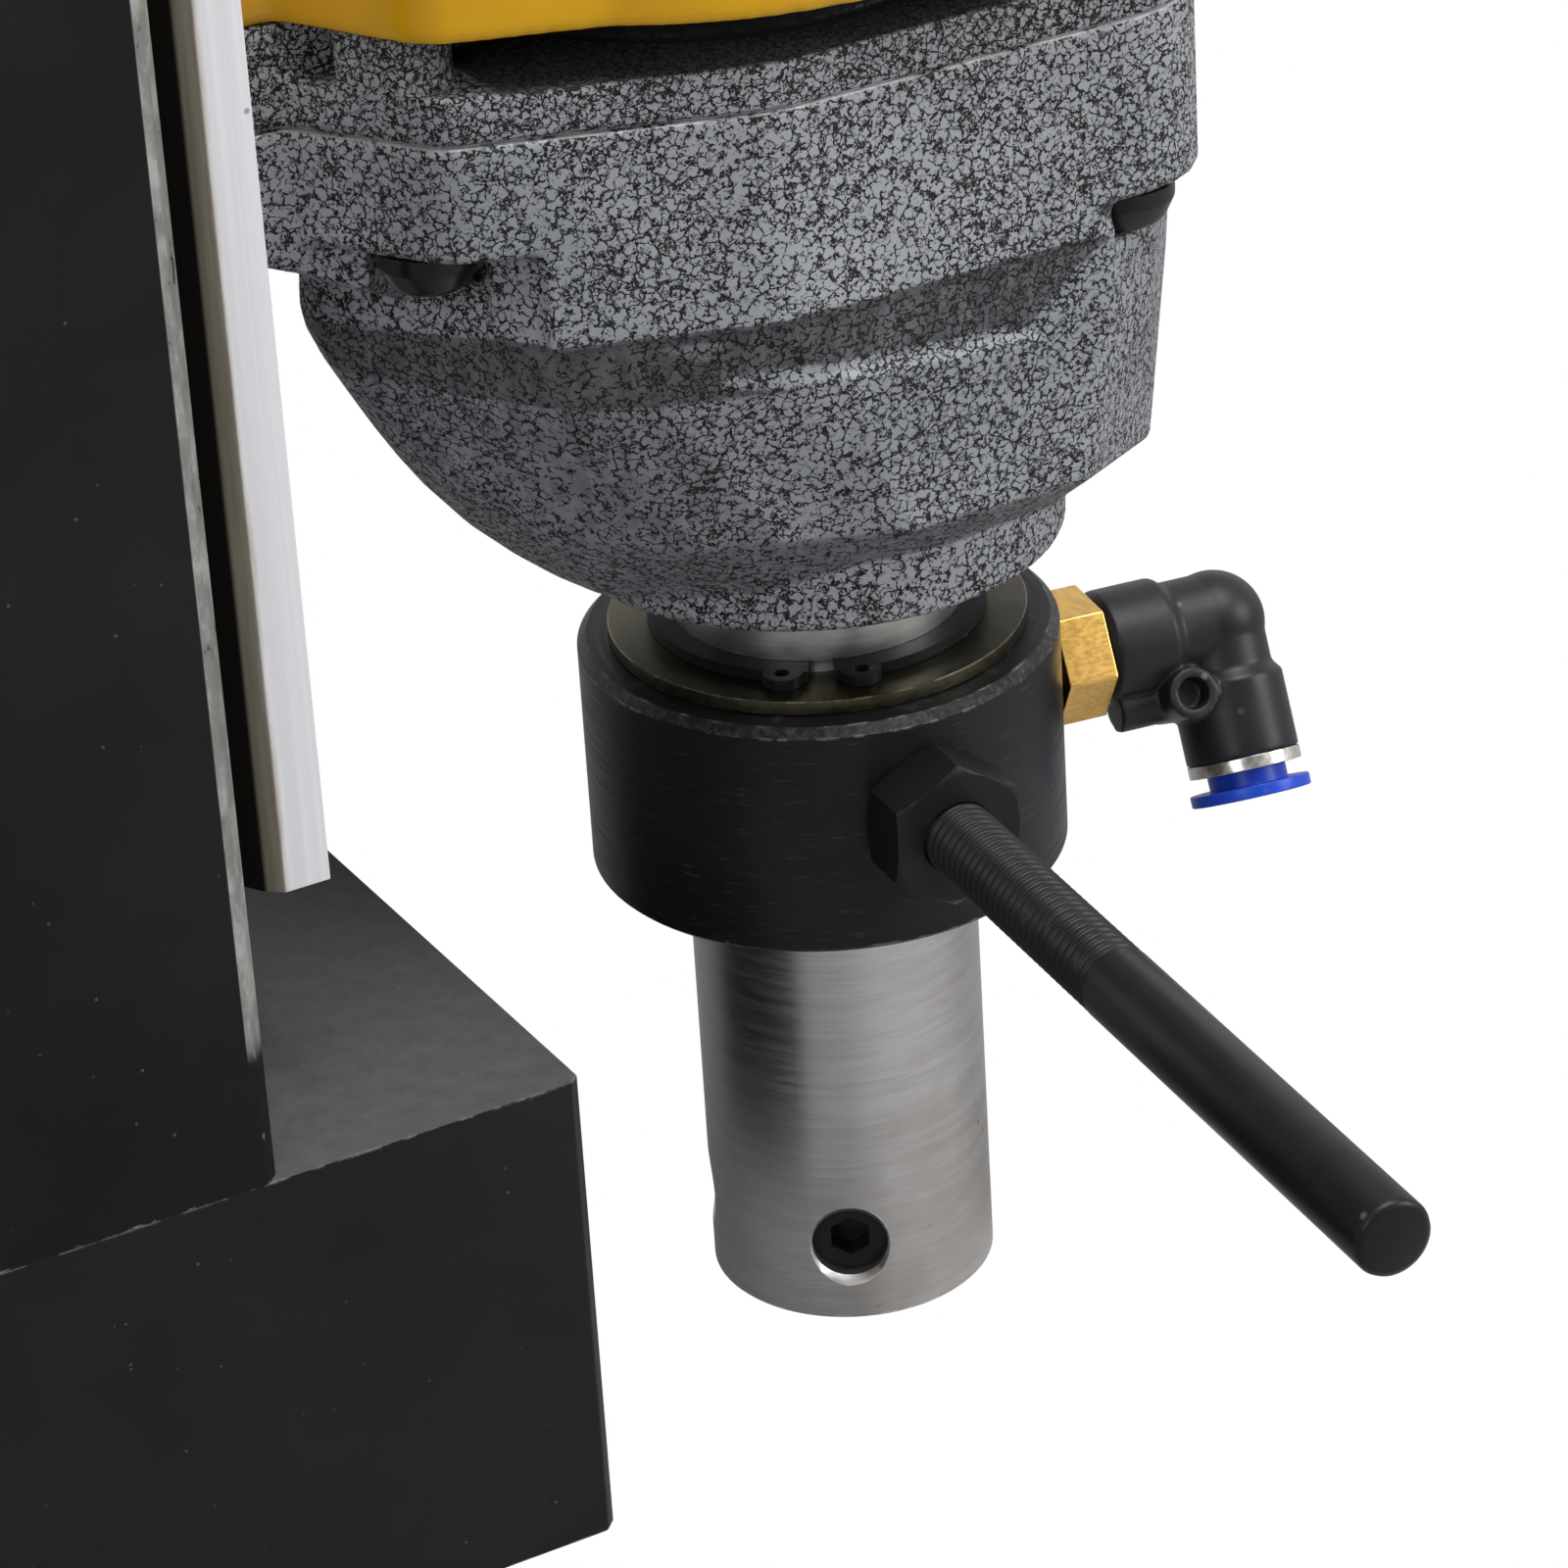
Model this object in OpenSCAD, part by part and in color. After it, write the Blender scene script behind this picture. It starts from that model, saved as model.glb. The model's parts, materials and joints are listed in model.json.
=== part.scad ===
// Magnetic drill: a magnet base carries a hollow column, a dovetail slide runs
// on the column, and the slide carries a gear case, a motor and a hollow arbor.
// The origin is the centre of the magnet's face, +X points to the arbor, +Z up.

/* [Magnet base] */
// Length of the magnet block along the drill
base_l = 160; // [140:1:200]
// Width of the magnet block and of the column
base_w = 80; // [76:1:100]
// Height of the magnet block
base_h = 66.5; // [60:0.5:80]
// Chamfer on the block's upright edges
base_chamfer = 1.5; // [0.5:0.1:3]
// Radius of each coil's inner pole
pole_r = 15; // [12:0.5:16]
// Outer radius of each coil pocket
pocket_r = 30; // [26:0.5:32]
// Depth of the coil pockets
pocket_depth = 36; // [28:1:44]

/* [Column] */
// Depth of the column from its front face to its rear face
column_d = 105; // [100:1:115]
// Height of the column above the base
column_h = 330; // [315:1:360]
// Distance from the base's front end back to the column's front face
column_setback = 41; // [36:1:50]
// Thickness of the column's side walls
column_wall = 6; // [5:0.5:8]
// Chamfer on the column's front edges
column_chamfer = 1.6; // [1:0.1:3]
// Thickness of the rear cover
cover_t = 4; // [3:0.5:6]

/* [Slide] */
// Width of the slide's front plate
slide_w = 48; // [46:1:56]
// Thickness of the slide's front plate
slide_t = 6; // [5:0.5:8]
// Distance from the column's front face to the slide's front face
slide_out = 17.2; // [15:0.1:20]
// Length of the slide
slide_len = 250; // [240:1:270]
// Height of the slide's lower end above the base at the lowest position
slide_rise = 28.5; // [24:0.5:34]
// Travel of the slide
stroke = 120; // [80:1:125]
// Half width of the dovetail at its narrow front
dove_half = 15; // [13:0.5:17]
// Depth of the dovetail
dove_d = 15; // [12:0.5:16]
// Sliding clearance of the dovetail
slide_fit = 0.1; // [0.05:0.01:0.2]
// Thickness of the gib strip, measured across the drill
gib_t = 4; // [3:0.5:5]

/* [Feed] */
// Tooth module of the rack and the feed pinion
rack_m = 1.5; // [1.25:0.05:1.5]
// Number of teeth on the feed pinion
feed_teeth = 20; // [16:1:20]
// Width of the rack and of the feed pinion's teeth
rack_w = 10; // [8:0.5:10]
// Length of the rack
rack_len = 165; // [160:1:180]
// Height of the feed shaft above the base
feed_rise = 183.5; // [178:0.5:190]
// Radius of the feed shaft
feed_shaft_r = 8; // [7:0.5:9]
// Radius of the handle hub
hub_r = 24; // [22:1:28]
// Length of the handle hub
hub_l = 30; // [26:1:34]
// Distance from the feed shaft's axis to the far end of a spoke
spoke_reach = 150; // [110:1:155]
// Radius of a spoke
spoke_r = 5.5; // [4.5:0.5:6.5]
// Angle by which the spokes lean away from the column
spoke_lean = 10; // [6:1:16]
// Largest radius of a spoke's knob
knob_r = 15; // [12:0.5:18]

/* [Arbor] */
// Distance from the column's front face to the arbor's axis
arbor_reach = 99; // [97:0.5:104]
// Radius of the arbor
arbor_r = 19; // [18:0.25:19]
// Radius of the cutter socket in the arbor
socket_r = 9.53; // [8:0.01:9.6]
// Depth of the cutter socket
socket_depth = 50; // [40:1:55]
// Height of the arbor's lower end above the work at the lowest position
arbor_rise = 1; // [1:0.5:4]
// Radius of the arbor's set screws
grub_r = 5; // [4:0.25:5.5]
// Height of the set screws above the arbor's lower end
grub_rise = 11.4; // [10:0.2:16]

/* [Coolant ring] */
// Outer radius of the coolant ring
ring_r = 31.3; // [30:0.1:33]
// Height of the coolant ring
ring_h = 32; // [30:0.5:34]
// Gap between the gear case's nose and the coolant ring
ring_drop = 14.2; // [13:0.1:15]
// Running clearance of the coolant ring on the arbor
ring_fit = 0.08; // [0.03:0.01:0.1]
// Radius of the stop rod
rod_r = 4.9; // [4:0.1:5.5]
// Distance from the arbor's axis to the stop rod's end
rod_reach = 148.3; // [110:0.1:160]
// Direction of the stop rod seen from above
rod_angle = -94.5; // [-110:0.5:-80]
// Width of the rod nut across its flats
nut_flats = 17; // [15:0.5:18]
// Thickness of the rod nut
nut_h = 8.5; // [6:0.5:10]

/* [Tube fitting] */
// Direction of the tube fitting seen from above
fitting_angle = -8; // [-20:1:4]
// Tilt of the fitting's outlet towards the stop rod's side
outlet_tilt = 28; // [0:1:60]
// Radius of the fitting's barrel
barrel_r = 7.7; // [7.2:0.1:8.4]
// Distance from the barrel's axis to the fitting's outlet end
outlet_len = 20; // [19:0.5:24]
// Radius of the tube that the fitting takes
tube_r = 4; // [3:0.5:4]
// Travel of the release collar
collar_travel = 1.2; // [0.6:0.1:1.2]

/* [Gear case] */
// Height of the gear case's parting line above the base
parting_rise = 120; // [119:0.5:124]
// Half width of the gear case's rim
rim_half = 43; // [41:0.5:46]
// Distance from the arbor's axis to the front of the rim
rim_front = 39; // [37:0.5:43]
// Depth of the rim below the parting line
rim_depth = 27; // [24:0.5:27]
// Radius of the bowl under the rim
bowl_r = 47.2; // [46.4:0.2:48]
// Radius of the bowl at its lower edge
bowl_low_r = 44; // [43:0.2:45]
// Outer radius of the nose round the lower bearing
nose_r = 32.6; // [32:0.2:35]
// Thickness of the lid's flange
lid_t = 6; // [5:0.5:8]
// Gap between the lid's flange and the motor housing
lid_neck = 7; // [5:0.5:9]

/* [Motor] */
// Outer radius of the motor housing
motor_r = 49; // [48:0.5:54]
// Wall of the motor housing
motor_wall = 4; // [3:0.5:5]
// Height of the motor housing
motor_h = 100; // [96:1:110]
// Height of the end cap
cap_h = 52; // [48:1:60]
// Number of air slots round the end cap
cap_slots = 18; // [12:2:20]

/* [Gears] */
// Module of the first gear pair
gear_m1 = 1; // [0.9:0.05:1]
// Teeth on the motor pinion
pinion_z1 = 8; // [7:1:9]
// Teeth on the countershaft gear
gear_z1 = 28; // [27:1:29]
// Module of the second gear pair
gear_m2 = 1.25; // [1.2:0.05:1.25]
// Teeth on the countershaft pinion
pinion_z2 = 10; // [9:1:11]
// Teeth on the spindle gear
gear_z2 = 38; // [37:1:39]

/* [Hidden] */
$fn = 64;

// Heights and places that follow from the driving dimensions
base_top = base_h;
col_top = base_top + column_h;
base_x1 = base_l / 2;
col_x1 = base_x1 - column_setback;
col_x0 = col_x1 - column_d;
half_w = base_w / 2;
slide_x1 = col_x1 + slide_out;
slide_z0 = base_top + slide_rise;
arbor_x = col_x1 + arbor_reach;
arbor_z0 = arbor_rise;
parting_z = base_top + parting_rise;
feed_z = base_top + feed_rise;

// Gear centres: the motor's axis lies behind the arbor's, the countershaft's behind both
centre_1 = gear_m1 * (pinion_z1 + gear_z1) / 2;
centre_2 = gear_m2 * (pinion_z2 + gear_z2) / 2;
motor_offset = centre_2 - centre_1;
motor_x = arbor_x - motor_offset;
counter_x = arbor_x - centre_2;
pinion_turn = 180 + 180 / pinion_z1;
spindle_turn = 180 + 180 / gear_z2;

// Clearances that repeat
seat_gap = 0.05;
run_gap = 0.05;
tiny = 0.01;

// Dovetail section
dove_x1 = col_x1 + 2;
dove_x0 = dove_x1 - dove_d;
dove_slope = tan(30);
neck_x = dove_x1 + 3;
slot_x0 = dove_x0 - slide_fit;
function flank(x, extra) = dove_half + (dove_x1 - x) * dove_slope + extra;

// Rack and feed pinion
pitch = PI * rack_m;
feed_r = rack_m * feed_teeth / 2;
rack_t = 10;
rack_x = dove_x0 - rack_t;
feed_x = rack_x - feed_r;
feed_outer_r = feed_r + rack_m;
rack_z0 = slide_z0 + 17;
channel_half = rack_w / 2 + 1.5;

// Column bolts, coils and cover
foot_t = 10;
coil_x = base_l / 4;
coil_gap = 0.5;
potting_t = 6;
bolt_r = 4;
bolt_head_r = 6.5;
bolt_head_h = 8;
bolt_depth = 18;
bolt_xs = [col_x0 + 16, feed_x - 5];
bolt_y = half_w - column_wall - 10;
bolt_spots = [for (x = bolt_xs, s = [-1, 1]) [x, s * bolt_y]];
cover_gap = 3;
cover_screw_r = 2;
cover_x = col_x0 - cover_t;
stop_z = feed_z + 54;
start_z = stop_z + 28;
rocker_z = start_z + 32;
gland_z = base_top + 34;

handle_spots = [col_x0 + 14, rack_x - rack_m - 14];

// Gib screws
gib_screw_r = 3;
gib_tip_r = 1.4;
gib_x = (col_x1 + slot_x0) / 2;
gib_zs = [for (k = [0:3]) base_top + 40 + k * (column_h - 80) / 3];
gib_z0 = base_top + 6;
gib_z1 = col_top - 6;

// Feed shaft, hub and bushings
bush_r = 12;
bush_flange_r = 15;
bush_flange_t = 2;
bush_l = 20;
bush_y0 = rack_w / 2 + 2.5;
hub_y0 = half_w + bush_flange_t + 0.6;
hub_y = hub_y0 + hub_l / 2;
spoke_root = 12;
knob_l = 38;
retainer_t = 2;

// Carriage screws
mount_y = 7.5;
mount_r = 2.5;
mount_head_r = 4.25;
mount_head_h = 5;
mount_zs = [parting_z - 8.5, parting_z + lid_t];
rack_screw_zs = [rack_z0 + 10, parting_z + 60, parting_z + 82];

// Bearings as bore radius, outer radius and height
low_bearing = [15, 27.5, 13];
top_bearing = [7.5, 16, 9];
counter_bearing = [4, 11, 7];
motor_bearing = [6, 16, 10];

// Levels inside the gear case, stacked down from the parting line
gear1_h = 10;
spindle_gear_h = 14;
plate_t = 12;
gear1_z = parting_z - gear1_h - 2.5;
plate_z1 = gear1_z - 4;
plate_z0 = plate_z1 - plate_t;
spindle_gear_z = plate_z0 - spindle_gear_h - 4;
cavity_z0 = spindle_gear_z - 1;
counter_z0 = cavity_z0 - counter_bearing[2] - 1;
lip_z = counter_z0 - 1.5;
low_bearing_z = lip_z - low_bearing[2];
nose_z0 = low_bearing_z - 6;
case_depth = parting_z - nose_z0;

// Levels outside the gear case, and of the ring under its nose
ring_z1 = nose_z0 - ring_drop;
ring_z0 = ring_z1 - ring_h;
bowl_z0 = nose_z0 + 16.2;
rim_z0 = parting_z - rim_depth;
hull_z1 = parting_z - 14.5;
front_roof_z = parting_z - 23;
channel_z0 = rim_z0 - 11;
lid_z1 = parting_z + lid_t;
housing_z0 = lid_z1 + lid_neck;
housing_z1 = housing_z0 + motor_h;
cap_z1 = housing_z1 + cap_h;

// Gear case outline, measured from the arbor's axis
pad_x = slide_x1 - arbor_x;
pad_half = 12.5;
side_x = -25;
shoulder_x = -61.5;
shoulder_y = rim_half - 13;
knee_x = pad_x + 8.8;
bulge_r = bowl_r + 1;
rear_screw = [-60.3, 21.2];
front_screw = [rim_front - 13, rim_half - 6.5];
case_screw_r = 3;
case_head_r = 6.2;
case_head_h = 5.4;
recess_r = 7.4;

// Gears, shafts and bearings
cavity_r = 36;
ledge_r = cavity_r - 2.5;
lobe_r = gear_m1 * gear_z1 / 2 + 3.5;
seal_z0 = nose_z0 + 0.8;
seal_h = 4.6;
lip_r = 16;
top_bearing_z = plate_z0 + 2;
counter_top_z = plate_z0 + 3;
motor_pinion_h = 12;
pillar_spots = [[20, 22], [20, -22], [-13, 28], [-13, -28]];
pillar_r = 4;
motor_bearing_z = parting_z + 2;

// Arbor
bearing_seat_r = low_bearing[0];
gear_seat_r = 12.5;
pilot_r = 3.2;
groove_r = arbor_r - 1;
ring_clip_r = 22;
clip_t = 1.5;
washer_t = 1.9;
washer_r = 27.2;
washer_z = ring_z1 + 0.15;
top_clip_z = washer_z + washer_t + 0.1;
low_clip_z = ring_z0 + 1;
grub_z = arbor_z0 + grub_rise;
grub_angles = [-120, 150];
grub_l = 6.5;

// Coolant ring and stop rod
ring_bore = arbor_r + ring_fit;
ring_chamfer = 1.2;
rod_rise = 18.5;
port_z = ring_z0 + rod_rise;
gallery_r = 22;
gallery_h = 8;
seal_r = 1.2;
seal_zs = [port_z - 8.5, port_z + 8.5];
rod_root = 25;
nut_seat = ring_r + seat_gap;

// Tube fitting
stem_flats = 15.5;
stem_x0 = ring_r + seat_gap;
barrel_x0 = 38.6;
barrel_x1 = 48.9;
elbow_x = 56;
elbow_r = barrel_r - 1;
ferrule_h = 1.7;
socket_top = outlet_len - 14;
outlet_r = barrel_r - 0.1;
neck_r = outlet_r - 2.3;

// Motor
lead_angle = 232;
motor_inner_r = motor_r - motor_wall;
flange_h = 24;
flange_half = rim_half + 6.5;
flange_front = rim_front + 5;
core_z0 = housing_z0 + 26;
core_h = 58;
stator_r = motor_inner_r - 0.1;
air_r = 25.6;
core_r = 25;
armature_slots = 12;
commutator_r = 14;
commutator_z = housing_z1 + 2;
commutator_h = 20;
brush_z = commutator_z + commutator_h / 2;
fan_z = housing_z0 + 3;
cap_r = motor_r - 1.5;
cap_wall = 3.2;
cap_screw_r = 2;
cap_screw_ring = cap_r - 8;
cap_screw_angles = [20, 160, 200, 340];
top_bearing_end = cap_z1 - 8;

// One rounded corner of an outline: points on an arc that touches both edges
function unit(v) = v / norm(v);
function corner(a, b, c, r, n) =
  let (u = unit(a - b), v = unit(c - b), half = acos(max(-1, min(1, u * v))) / 2)
  r <= 0 ? [b] :
  let (mid = b + unit(u + v) * r / sin(half), p = b + u * r / tan(half), q = b + v * r / tan(half),
       a0 = atan2(p[1] - mid[1], p[0] - mid[0]), a1 = atan2(q[1] - mid[1], q[0] - mid[0]),
       turn = a1 - a0 > 180 ? a1 - a0 - 360 : a1 - a0 < -180 ? a1 - a0 + 360 : a1 - a0)
  [for (k = [0:n]) mid + r * [cos(a0 + turn * k / n), sin(a0 + turn * k / n)]];

// A closed outline whose points are [x, y, corner radius]
function rounded(pts, n = 5) =
  let (m = len(pts))
  [for (i = [0:m - 1], p = corner([pts[(i + m - 1) % m][0], pts[(i + m - 1) % m][1]],
      [pts[i][0], pts[i][1]], [pts[(i + 1) % m][0], pts[(i + 1) % m][1]], pts[i][2], n)) p];

// The same outline on both sides of the drill's middle plane
function mirrored(pts) =
  concat([for (p = pts) [p[0], -p[1], p[2]]], [for (i = [len(pts) - 1:-1:0]) pts[i]]);

// A spur gear's outline with straight flanks, the first tooth at angle 0
function gear_points(m, z) =
  [for (i = [0:z - 1], w = [-0.32, -0.11, 0.11, 0.32])
    (m * z / 2 + (abs(w) < 0.2 ? 0.95 : -1.15) * m) * [cos(360 / z * (i + w)), sin(360 / z * (i + w))]];

module rsquare(size, r) {
  square([size[0] - 2 * r, size[1]], center = true);
  square([size[0], size[1] - 2 * r], center = true);
  for (x = [-1, 1], y = [-1, 1])
    translate([x * (size[0] / 2 - r), y * (size[1] / 2 - r)]) circle(r);
}

module tube(r_in, r_out, h) {
  difference() {
    cylinder(r = r_out, h = h);
    translate([0, 0, -1]) cylinder(r = r_in, h = h + 2);
  }
}

module hexagon(flats, h) {
  cylinder(r = flats / sqrt(3), h = h, $fn = 6);
}

// A socket cap screw whose head stands on the plane and whose shank points down
module cap_screw(r, head_r, head_h, l) {
  difference() {
    cylinder(r = head_r, h = head_h);
    translate([0, 0, head_h * 0.45]) hexagon(head_r, head_h);
  }
  translate([0, 0, -l]) cylinder(r = r, h = l + tiny);
}

module at_arbor() {
  translate([arbor_x, 0, 0]) children();
}

module at_motor() {
  translate([motor_x, 0, 0]) children();
}

// Pieces of the magnet base

module magnet_body() {
  c = base_chamfer;
  color("#1c1d1f") difference() {
    linear_extrude(base_h)
      polygon([[-base_x1 + c, -half_w], [base_x1 - c, -half_w], [base_x1, -half_w + c],
        [base_x1, half_w - c], [base_x1 - c, half_w], [-base_x1 + c, half_w],
        [-base_x1, half_w - c], [-base_x1, -half_w + c]]);
    for (s = [-1, 1]) translate([s * coil_x, 0, -1]) tube(pole_r, pocket_r, pocket_depth + 1);
    for (p = bolt_spots)
      translate([p[0], p[1], base_top - bolt_depth]) cylinder(r = bolt_r + seat_gap, h = bolt_depth + 1);
  }
}

module magnet_coils() {
  color("#b3622d") for (s = [-1, 1]) translate([s * coil_x, 0, potting_t])
    tube(pole_r + coil_gap, pocket_r - coil_gap, pocket_depth - potting_t);
}

module coil_potting() {
  color("#2c2a28") for (s = [-1, 1]) translate([s * coil_x, 0, 0.2])
    tube(pole_r + seat_gap, pocket_r - seat_gap, potting_t - 0.2);
}

// Pieces of the column

module dovetail_slot() {
  linear_extrude(column_h + 2)
    polygon([[col_x1 + 1, -flank(col_x1 + 1, slide_fit)], [slot_x0, -flank(slot_x0, slide_fit)],
      [slot_x0, flank(slot_x0, gib_t + 2 * slide_fit)],
      [col_x1 + 1, flank(col_x1 + 1, gib_t + 2 * slide_fit)]]);
}

module column() {
  c = column_chamfer;
  inner = half_w - column_wall;
  shell_x = rack_x - rack_m - 6.5;
  block_z0 = feed_z - feed_outer_r - 12;
  block_z1 = feed_z + feed_outer_r + 12;
  color("#17181a") difference() {
    translate([0, 0, base_top]) linear_extrude(column_h)
      polygon([[col_x0, -half_w], [col_x1 - c, -half_w], [col_x1, -half_w + c],
        [col_x1, half_w - c], [col_x1 - c, half_w], [col_x0, half_w]]);
    translate([0, 0, base_top - 1]) dovetail_slot();
    // Channel for the rack
    translate([rack_x - rack_m - 1.5, -channel_half, base_top - 1])
      cube([rack_t + rack_m + 3, 2 * channel_half, column_h + 2]);
    // Rear hollow, with a solid block left round the feed shaft
    translate([col_x0 - 1, -inner, base_top + foot_t])
      cube([shell_x - col_x0 + 1, 2 * inner, block_z0 - base_top - foot_t]);
    translate([col_x0 - 1, -inner, block_z1])
      cube([shell_x - col_x0 + 1, 2 * inner, col_top - foot_t - block_z1]);
    translate([col_x0 - 1, -inner, block_z0 - 1])
      cube([feed_x - feed_outer_r - 6 - col_x0, 2 * inner, block_z1 - block_z0 + 2]);
    // Feed shaft, its bushings and the pinion's pocket
    translate([feed_x, 0, feed_z]) rotate([90, 0, 0]) {
      cylinder(r = bush_r + seat_gap, h = base_w + 2, center = true);
      cylinder(r = feed_outer_r + 1.5, h = 2 * bush_y0, center = true);
    }
    for (z = gib_zs) translate([gib_x, 0, z]) rotate([-90, 0, 0])
      cylinder(r = gib_screw_r + seat_gap, h = half_w + 1);
    for (p = bolt_spots)
      translate([p[0], p[1], base_top - 1]) cylinder(r = bolt_r + seat_gap, h = foot_t + 2);
    for (p = cover_spots()) translate([col_x0 - 1, p[0], p[1]]) rotate([0, 90, 0])
      cylinder(r = cover_screw_r + seat_gap, h = 13);
    for (x = handle_spots) translate([x, 0, col_top - foot_t - 1])
      cylinder(r = bolt_r + seat_gap, h = foot_t + 2);
  }
}

// Cap screws down into the magnet block, and two up into the carrying handle
module column_bolts() {
  color("#3a3b3d") {
    for (p = bolt_spots) translate([p[0], p[1], base_top + foot_t])
      cap_screw(bolt_r, bolt_head_r, bolt_head_h, foot_t + bolt_depth - 2);
    for (x = handle_spots) translate([x, 0, col_top - foot_t]) rotate([180, 0, 0])
      cap_screw(bolt_r, bolt_head_r, bolt_head_h, foot_t + 13);
  }
}

module gib_strip() {
  color("#b08d4a") difference() {
    translate([0, 0, gib_z0]) linear_extrude(gib_z1 - gib_z0)
      polygon([[col_x1 - 0.4, flank(col_x1 - 0.4, slide_fit)],
        [slot_x0 + 0.4, flank(slot_x0 + 0.4, slide_fit)],
        [slot_x0 + 0.4, flank(slot_x0 + 0.4, gib_t + slide_fit)],
        [col_x1 - 0.4, flank(col_x1 - 0.4, gib_t + slide_fit)]]);
    for (z = gib_zs) translate([gib_x, flank(gib_x, slide_fit + gib_t * 0.55), z]) rotate([-90, 0, 0])
      cylinder(r = gib_tip_r + seat_gap, h = gib_t * 2);
  }
}

// Set screws with dog points, and the nuts that lock them
module gib_screws() {
  tip_y = flank(gib_x, slide_fit + gib_t * 0.6);
  body_y = flank(slot_x0, gib_t + 2 * slide_fit);
  lock_h = 5;
  color("#55575a") for (z = gib_zs) translate([gib_x, 0, z]) rotate([-90, 0, 0]) {
    translate([0, 0, tip_y]) cylinder(r = gib_tip_r, h = half_w - tip_y);
    difference() {
      translate([0, 0, body_y]) cylinder(r = gib_screw_r, h = half_w + 8 - body_y);
      translate([0, 0, half_w + 5.5]) hexagon(3, 4);
    }
    difference() {
      translate([0, 0, half_w + seat_gap]) hexagon(10, lock_h);
      translate([0, 0, half_w]) cylinder(r = gib_screw_r + seat_gap, h = lock_h + 2);
    }
  }
}

module feed_bushings() {
  color("#a9813f") for (s = [-1, 1]) translate([feed_x, 0, feed_z]) rotate([-90 * s, 0, 0])
    difference() {
      union() {
        translate([0, 0, half_w - bush_l]) cylinder(r = bush_r, h = bush_l + 1);
        translate([0, 0, half_w]) cylinder(r = bush_flange_r, h = bush_flange_t);
      }
      cylinder(r = feed_shaft_r + run_gap, h = half_w * 2);
    }
}

function cover_spots() =
  [for (y = [-1, 1], z = [base_top + 12, (base_top + col_top) / 2, col_top - 12])
    [y * (half_w - column_wall / 2 - 0.2), z]];

module rear_cover() {
  mid = (base_top + col_top) / 2;
  color("#202124") difference() {
    translate([cover_x, 0, mid]) rotate([90, 0, 90]) linear_extrude(cover_t)
      rsquare([base_w, column_h - 2 * cover_gap], 3);
    for (p = cover_spots()) translate([cover_x - 1, p[0], p[1]]) rotate([0, 90, 0])
      cylinder(r = cover_screw_r + 0.2, h = cover_t + 2);
    for (z = [stop_z, start_z]) translate([cover_x - 1, 0, z]) rotate([0, 90, 0])
      cylinder(r = 9.2, h = cover_t + 2);
    translate([cover_x - 1, -11.2, rocker_z - 14.2]) cube([cover_t + 2, 22.4, 28.4]);
    translate([cover_x - 1, 0, gland_z]) rotate([0, 90, 0]) cylinder(r = 8, h = cover_t + 2);
  }
}

module cover_screws() {
  color("#8c8f93") for (p = cover_spots()) translate([cover_x, p[0], p[1]]) rotate([0, -90, 0])
    cap_screw(cover_screw_r, 2.9, 2.2, cover_t + 10);
}

// Circuit board on four standoffs behind the rear cover
module control_board() {
  board_x = col_x0 + 14;
  board_z = base_top + 50;
  board = [1.6, 52, 90];
  color("#2f6b45") {
    translate([board_x, -board[1] / 2, board_z]) cube(board);
    for (y = [-1, 1], z = [6, board[2] - 6])
      translate([col_x0 + seat_gap, y * (board[1] / 2 - 5), board_z + z]) rotate([0, 90, 0])
        cylinder(r = 2.5, h = 14.1);
    translate([board_x + 1.5, -18, board_z + 12]) cube([12, 14, 14]);
    translate([board_x + 1.5, 4, board_z + 12]) cube([9, 16, 22]);
    translate([board_x + 1.5, -20, board_z + 66]) cube([10, 40, 10]);
    translate([board_x + 1.5, -8, board_z + 48]) rotate([0, 90, 0]) cylinder(r = 7, h = 16);
  }
}

// Round guards for the two push buttons, and the frame of the rocker
module button_bezels() {
  color("#101113") {
    for (z = [stop_z, start_z]) translate([cover_x, 0, z]) rotate([0, -90, 0]) difference() {
      union() {
        translate([0, 0, -cover_t - 6]) cylinder(r = 9, h = cover_t + 6 + tiny);
        cylinder(r = 12.5, h = 2.5);
        cylinder(r = 10.5, h = 5);
      }
      translate([0, 0, -cover_t - 5]) cylinder(r = 7.6, h = 20);
    }
    translate([cover_x, 0, rocker_z]) rotate([0, -90, 0]) difference() {
      union() {
        translate([-14, -11, -cover_t - 10]) cube([28, 22, cover_t + 10 + tiny]);
        translate([-16, -13, 0]) cube([32, 26, 2]);
      }
      translate([-12.4, -9.4, -cover_t - 7]) cube([24.8, 18.8, 30]);
    }
  }
}

module power_gland() {
  color("#141517") translate([cover_x, 0, gland_z]) rotate([0, -90, 0]) difference() {
    union() {
      translate([0, 0, -cover_t - 8]) cylinder(r = 7.9, h = cover_t + 8 + tiny);
      translate([0, 0, -cover_t - 5]) hexagon(22, 5 - seat_gap);
      hexagon(22, 5);
      translate([0, 0, 5 - tiny]) cylinder(r = 10, h = 5);
      translate([0, 0, 10 - tiny]) cylinder(r1 = 10, r2 = 7.5, h = 6);
    }
    translate([0, 0, -cover_t - 9]) cylinder(r = 4, h = 40);
  }
}

// A bail for carrying, open underneath for the fingers, that leans back over the column
module carry_handle() {
  x0 = handle_spots[0] - 11;
  x1 = handle_spots[1] + 8;
  bar = 12;
  rise = 57;
  back = x0 - 34;
  color("#1a1b1d") difference() {
    translate([0, 13, col_top]) rotate([90, 0, 0]) linear_extrude(26) difference() {
      polygon(rounded([[x0, 0, 0], [x1, 0, 0], [x1, rise, 14], [back, rise, 15], [back, 24, 10], [x0, 10, 6]]));
      polygon(rounded([[x0 + 22, -1, 0], [x1 - 19, -1, 0], [x1 - 19, 6, 4], [x1 - 12, rise - bar, 8],
        [back + bar, rise - bar, 7], [back + bar, 30, 6], [x0 + 22, 14, 8]]));
    }
    for (x = handle_spots) translate([x, 0, col_top - 1]) cylinder(r = bolt_r + seat_gap, h = 15);
  }
}

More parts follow.
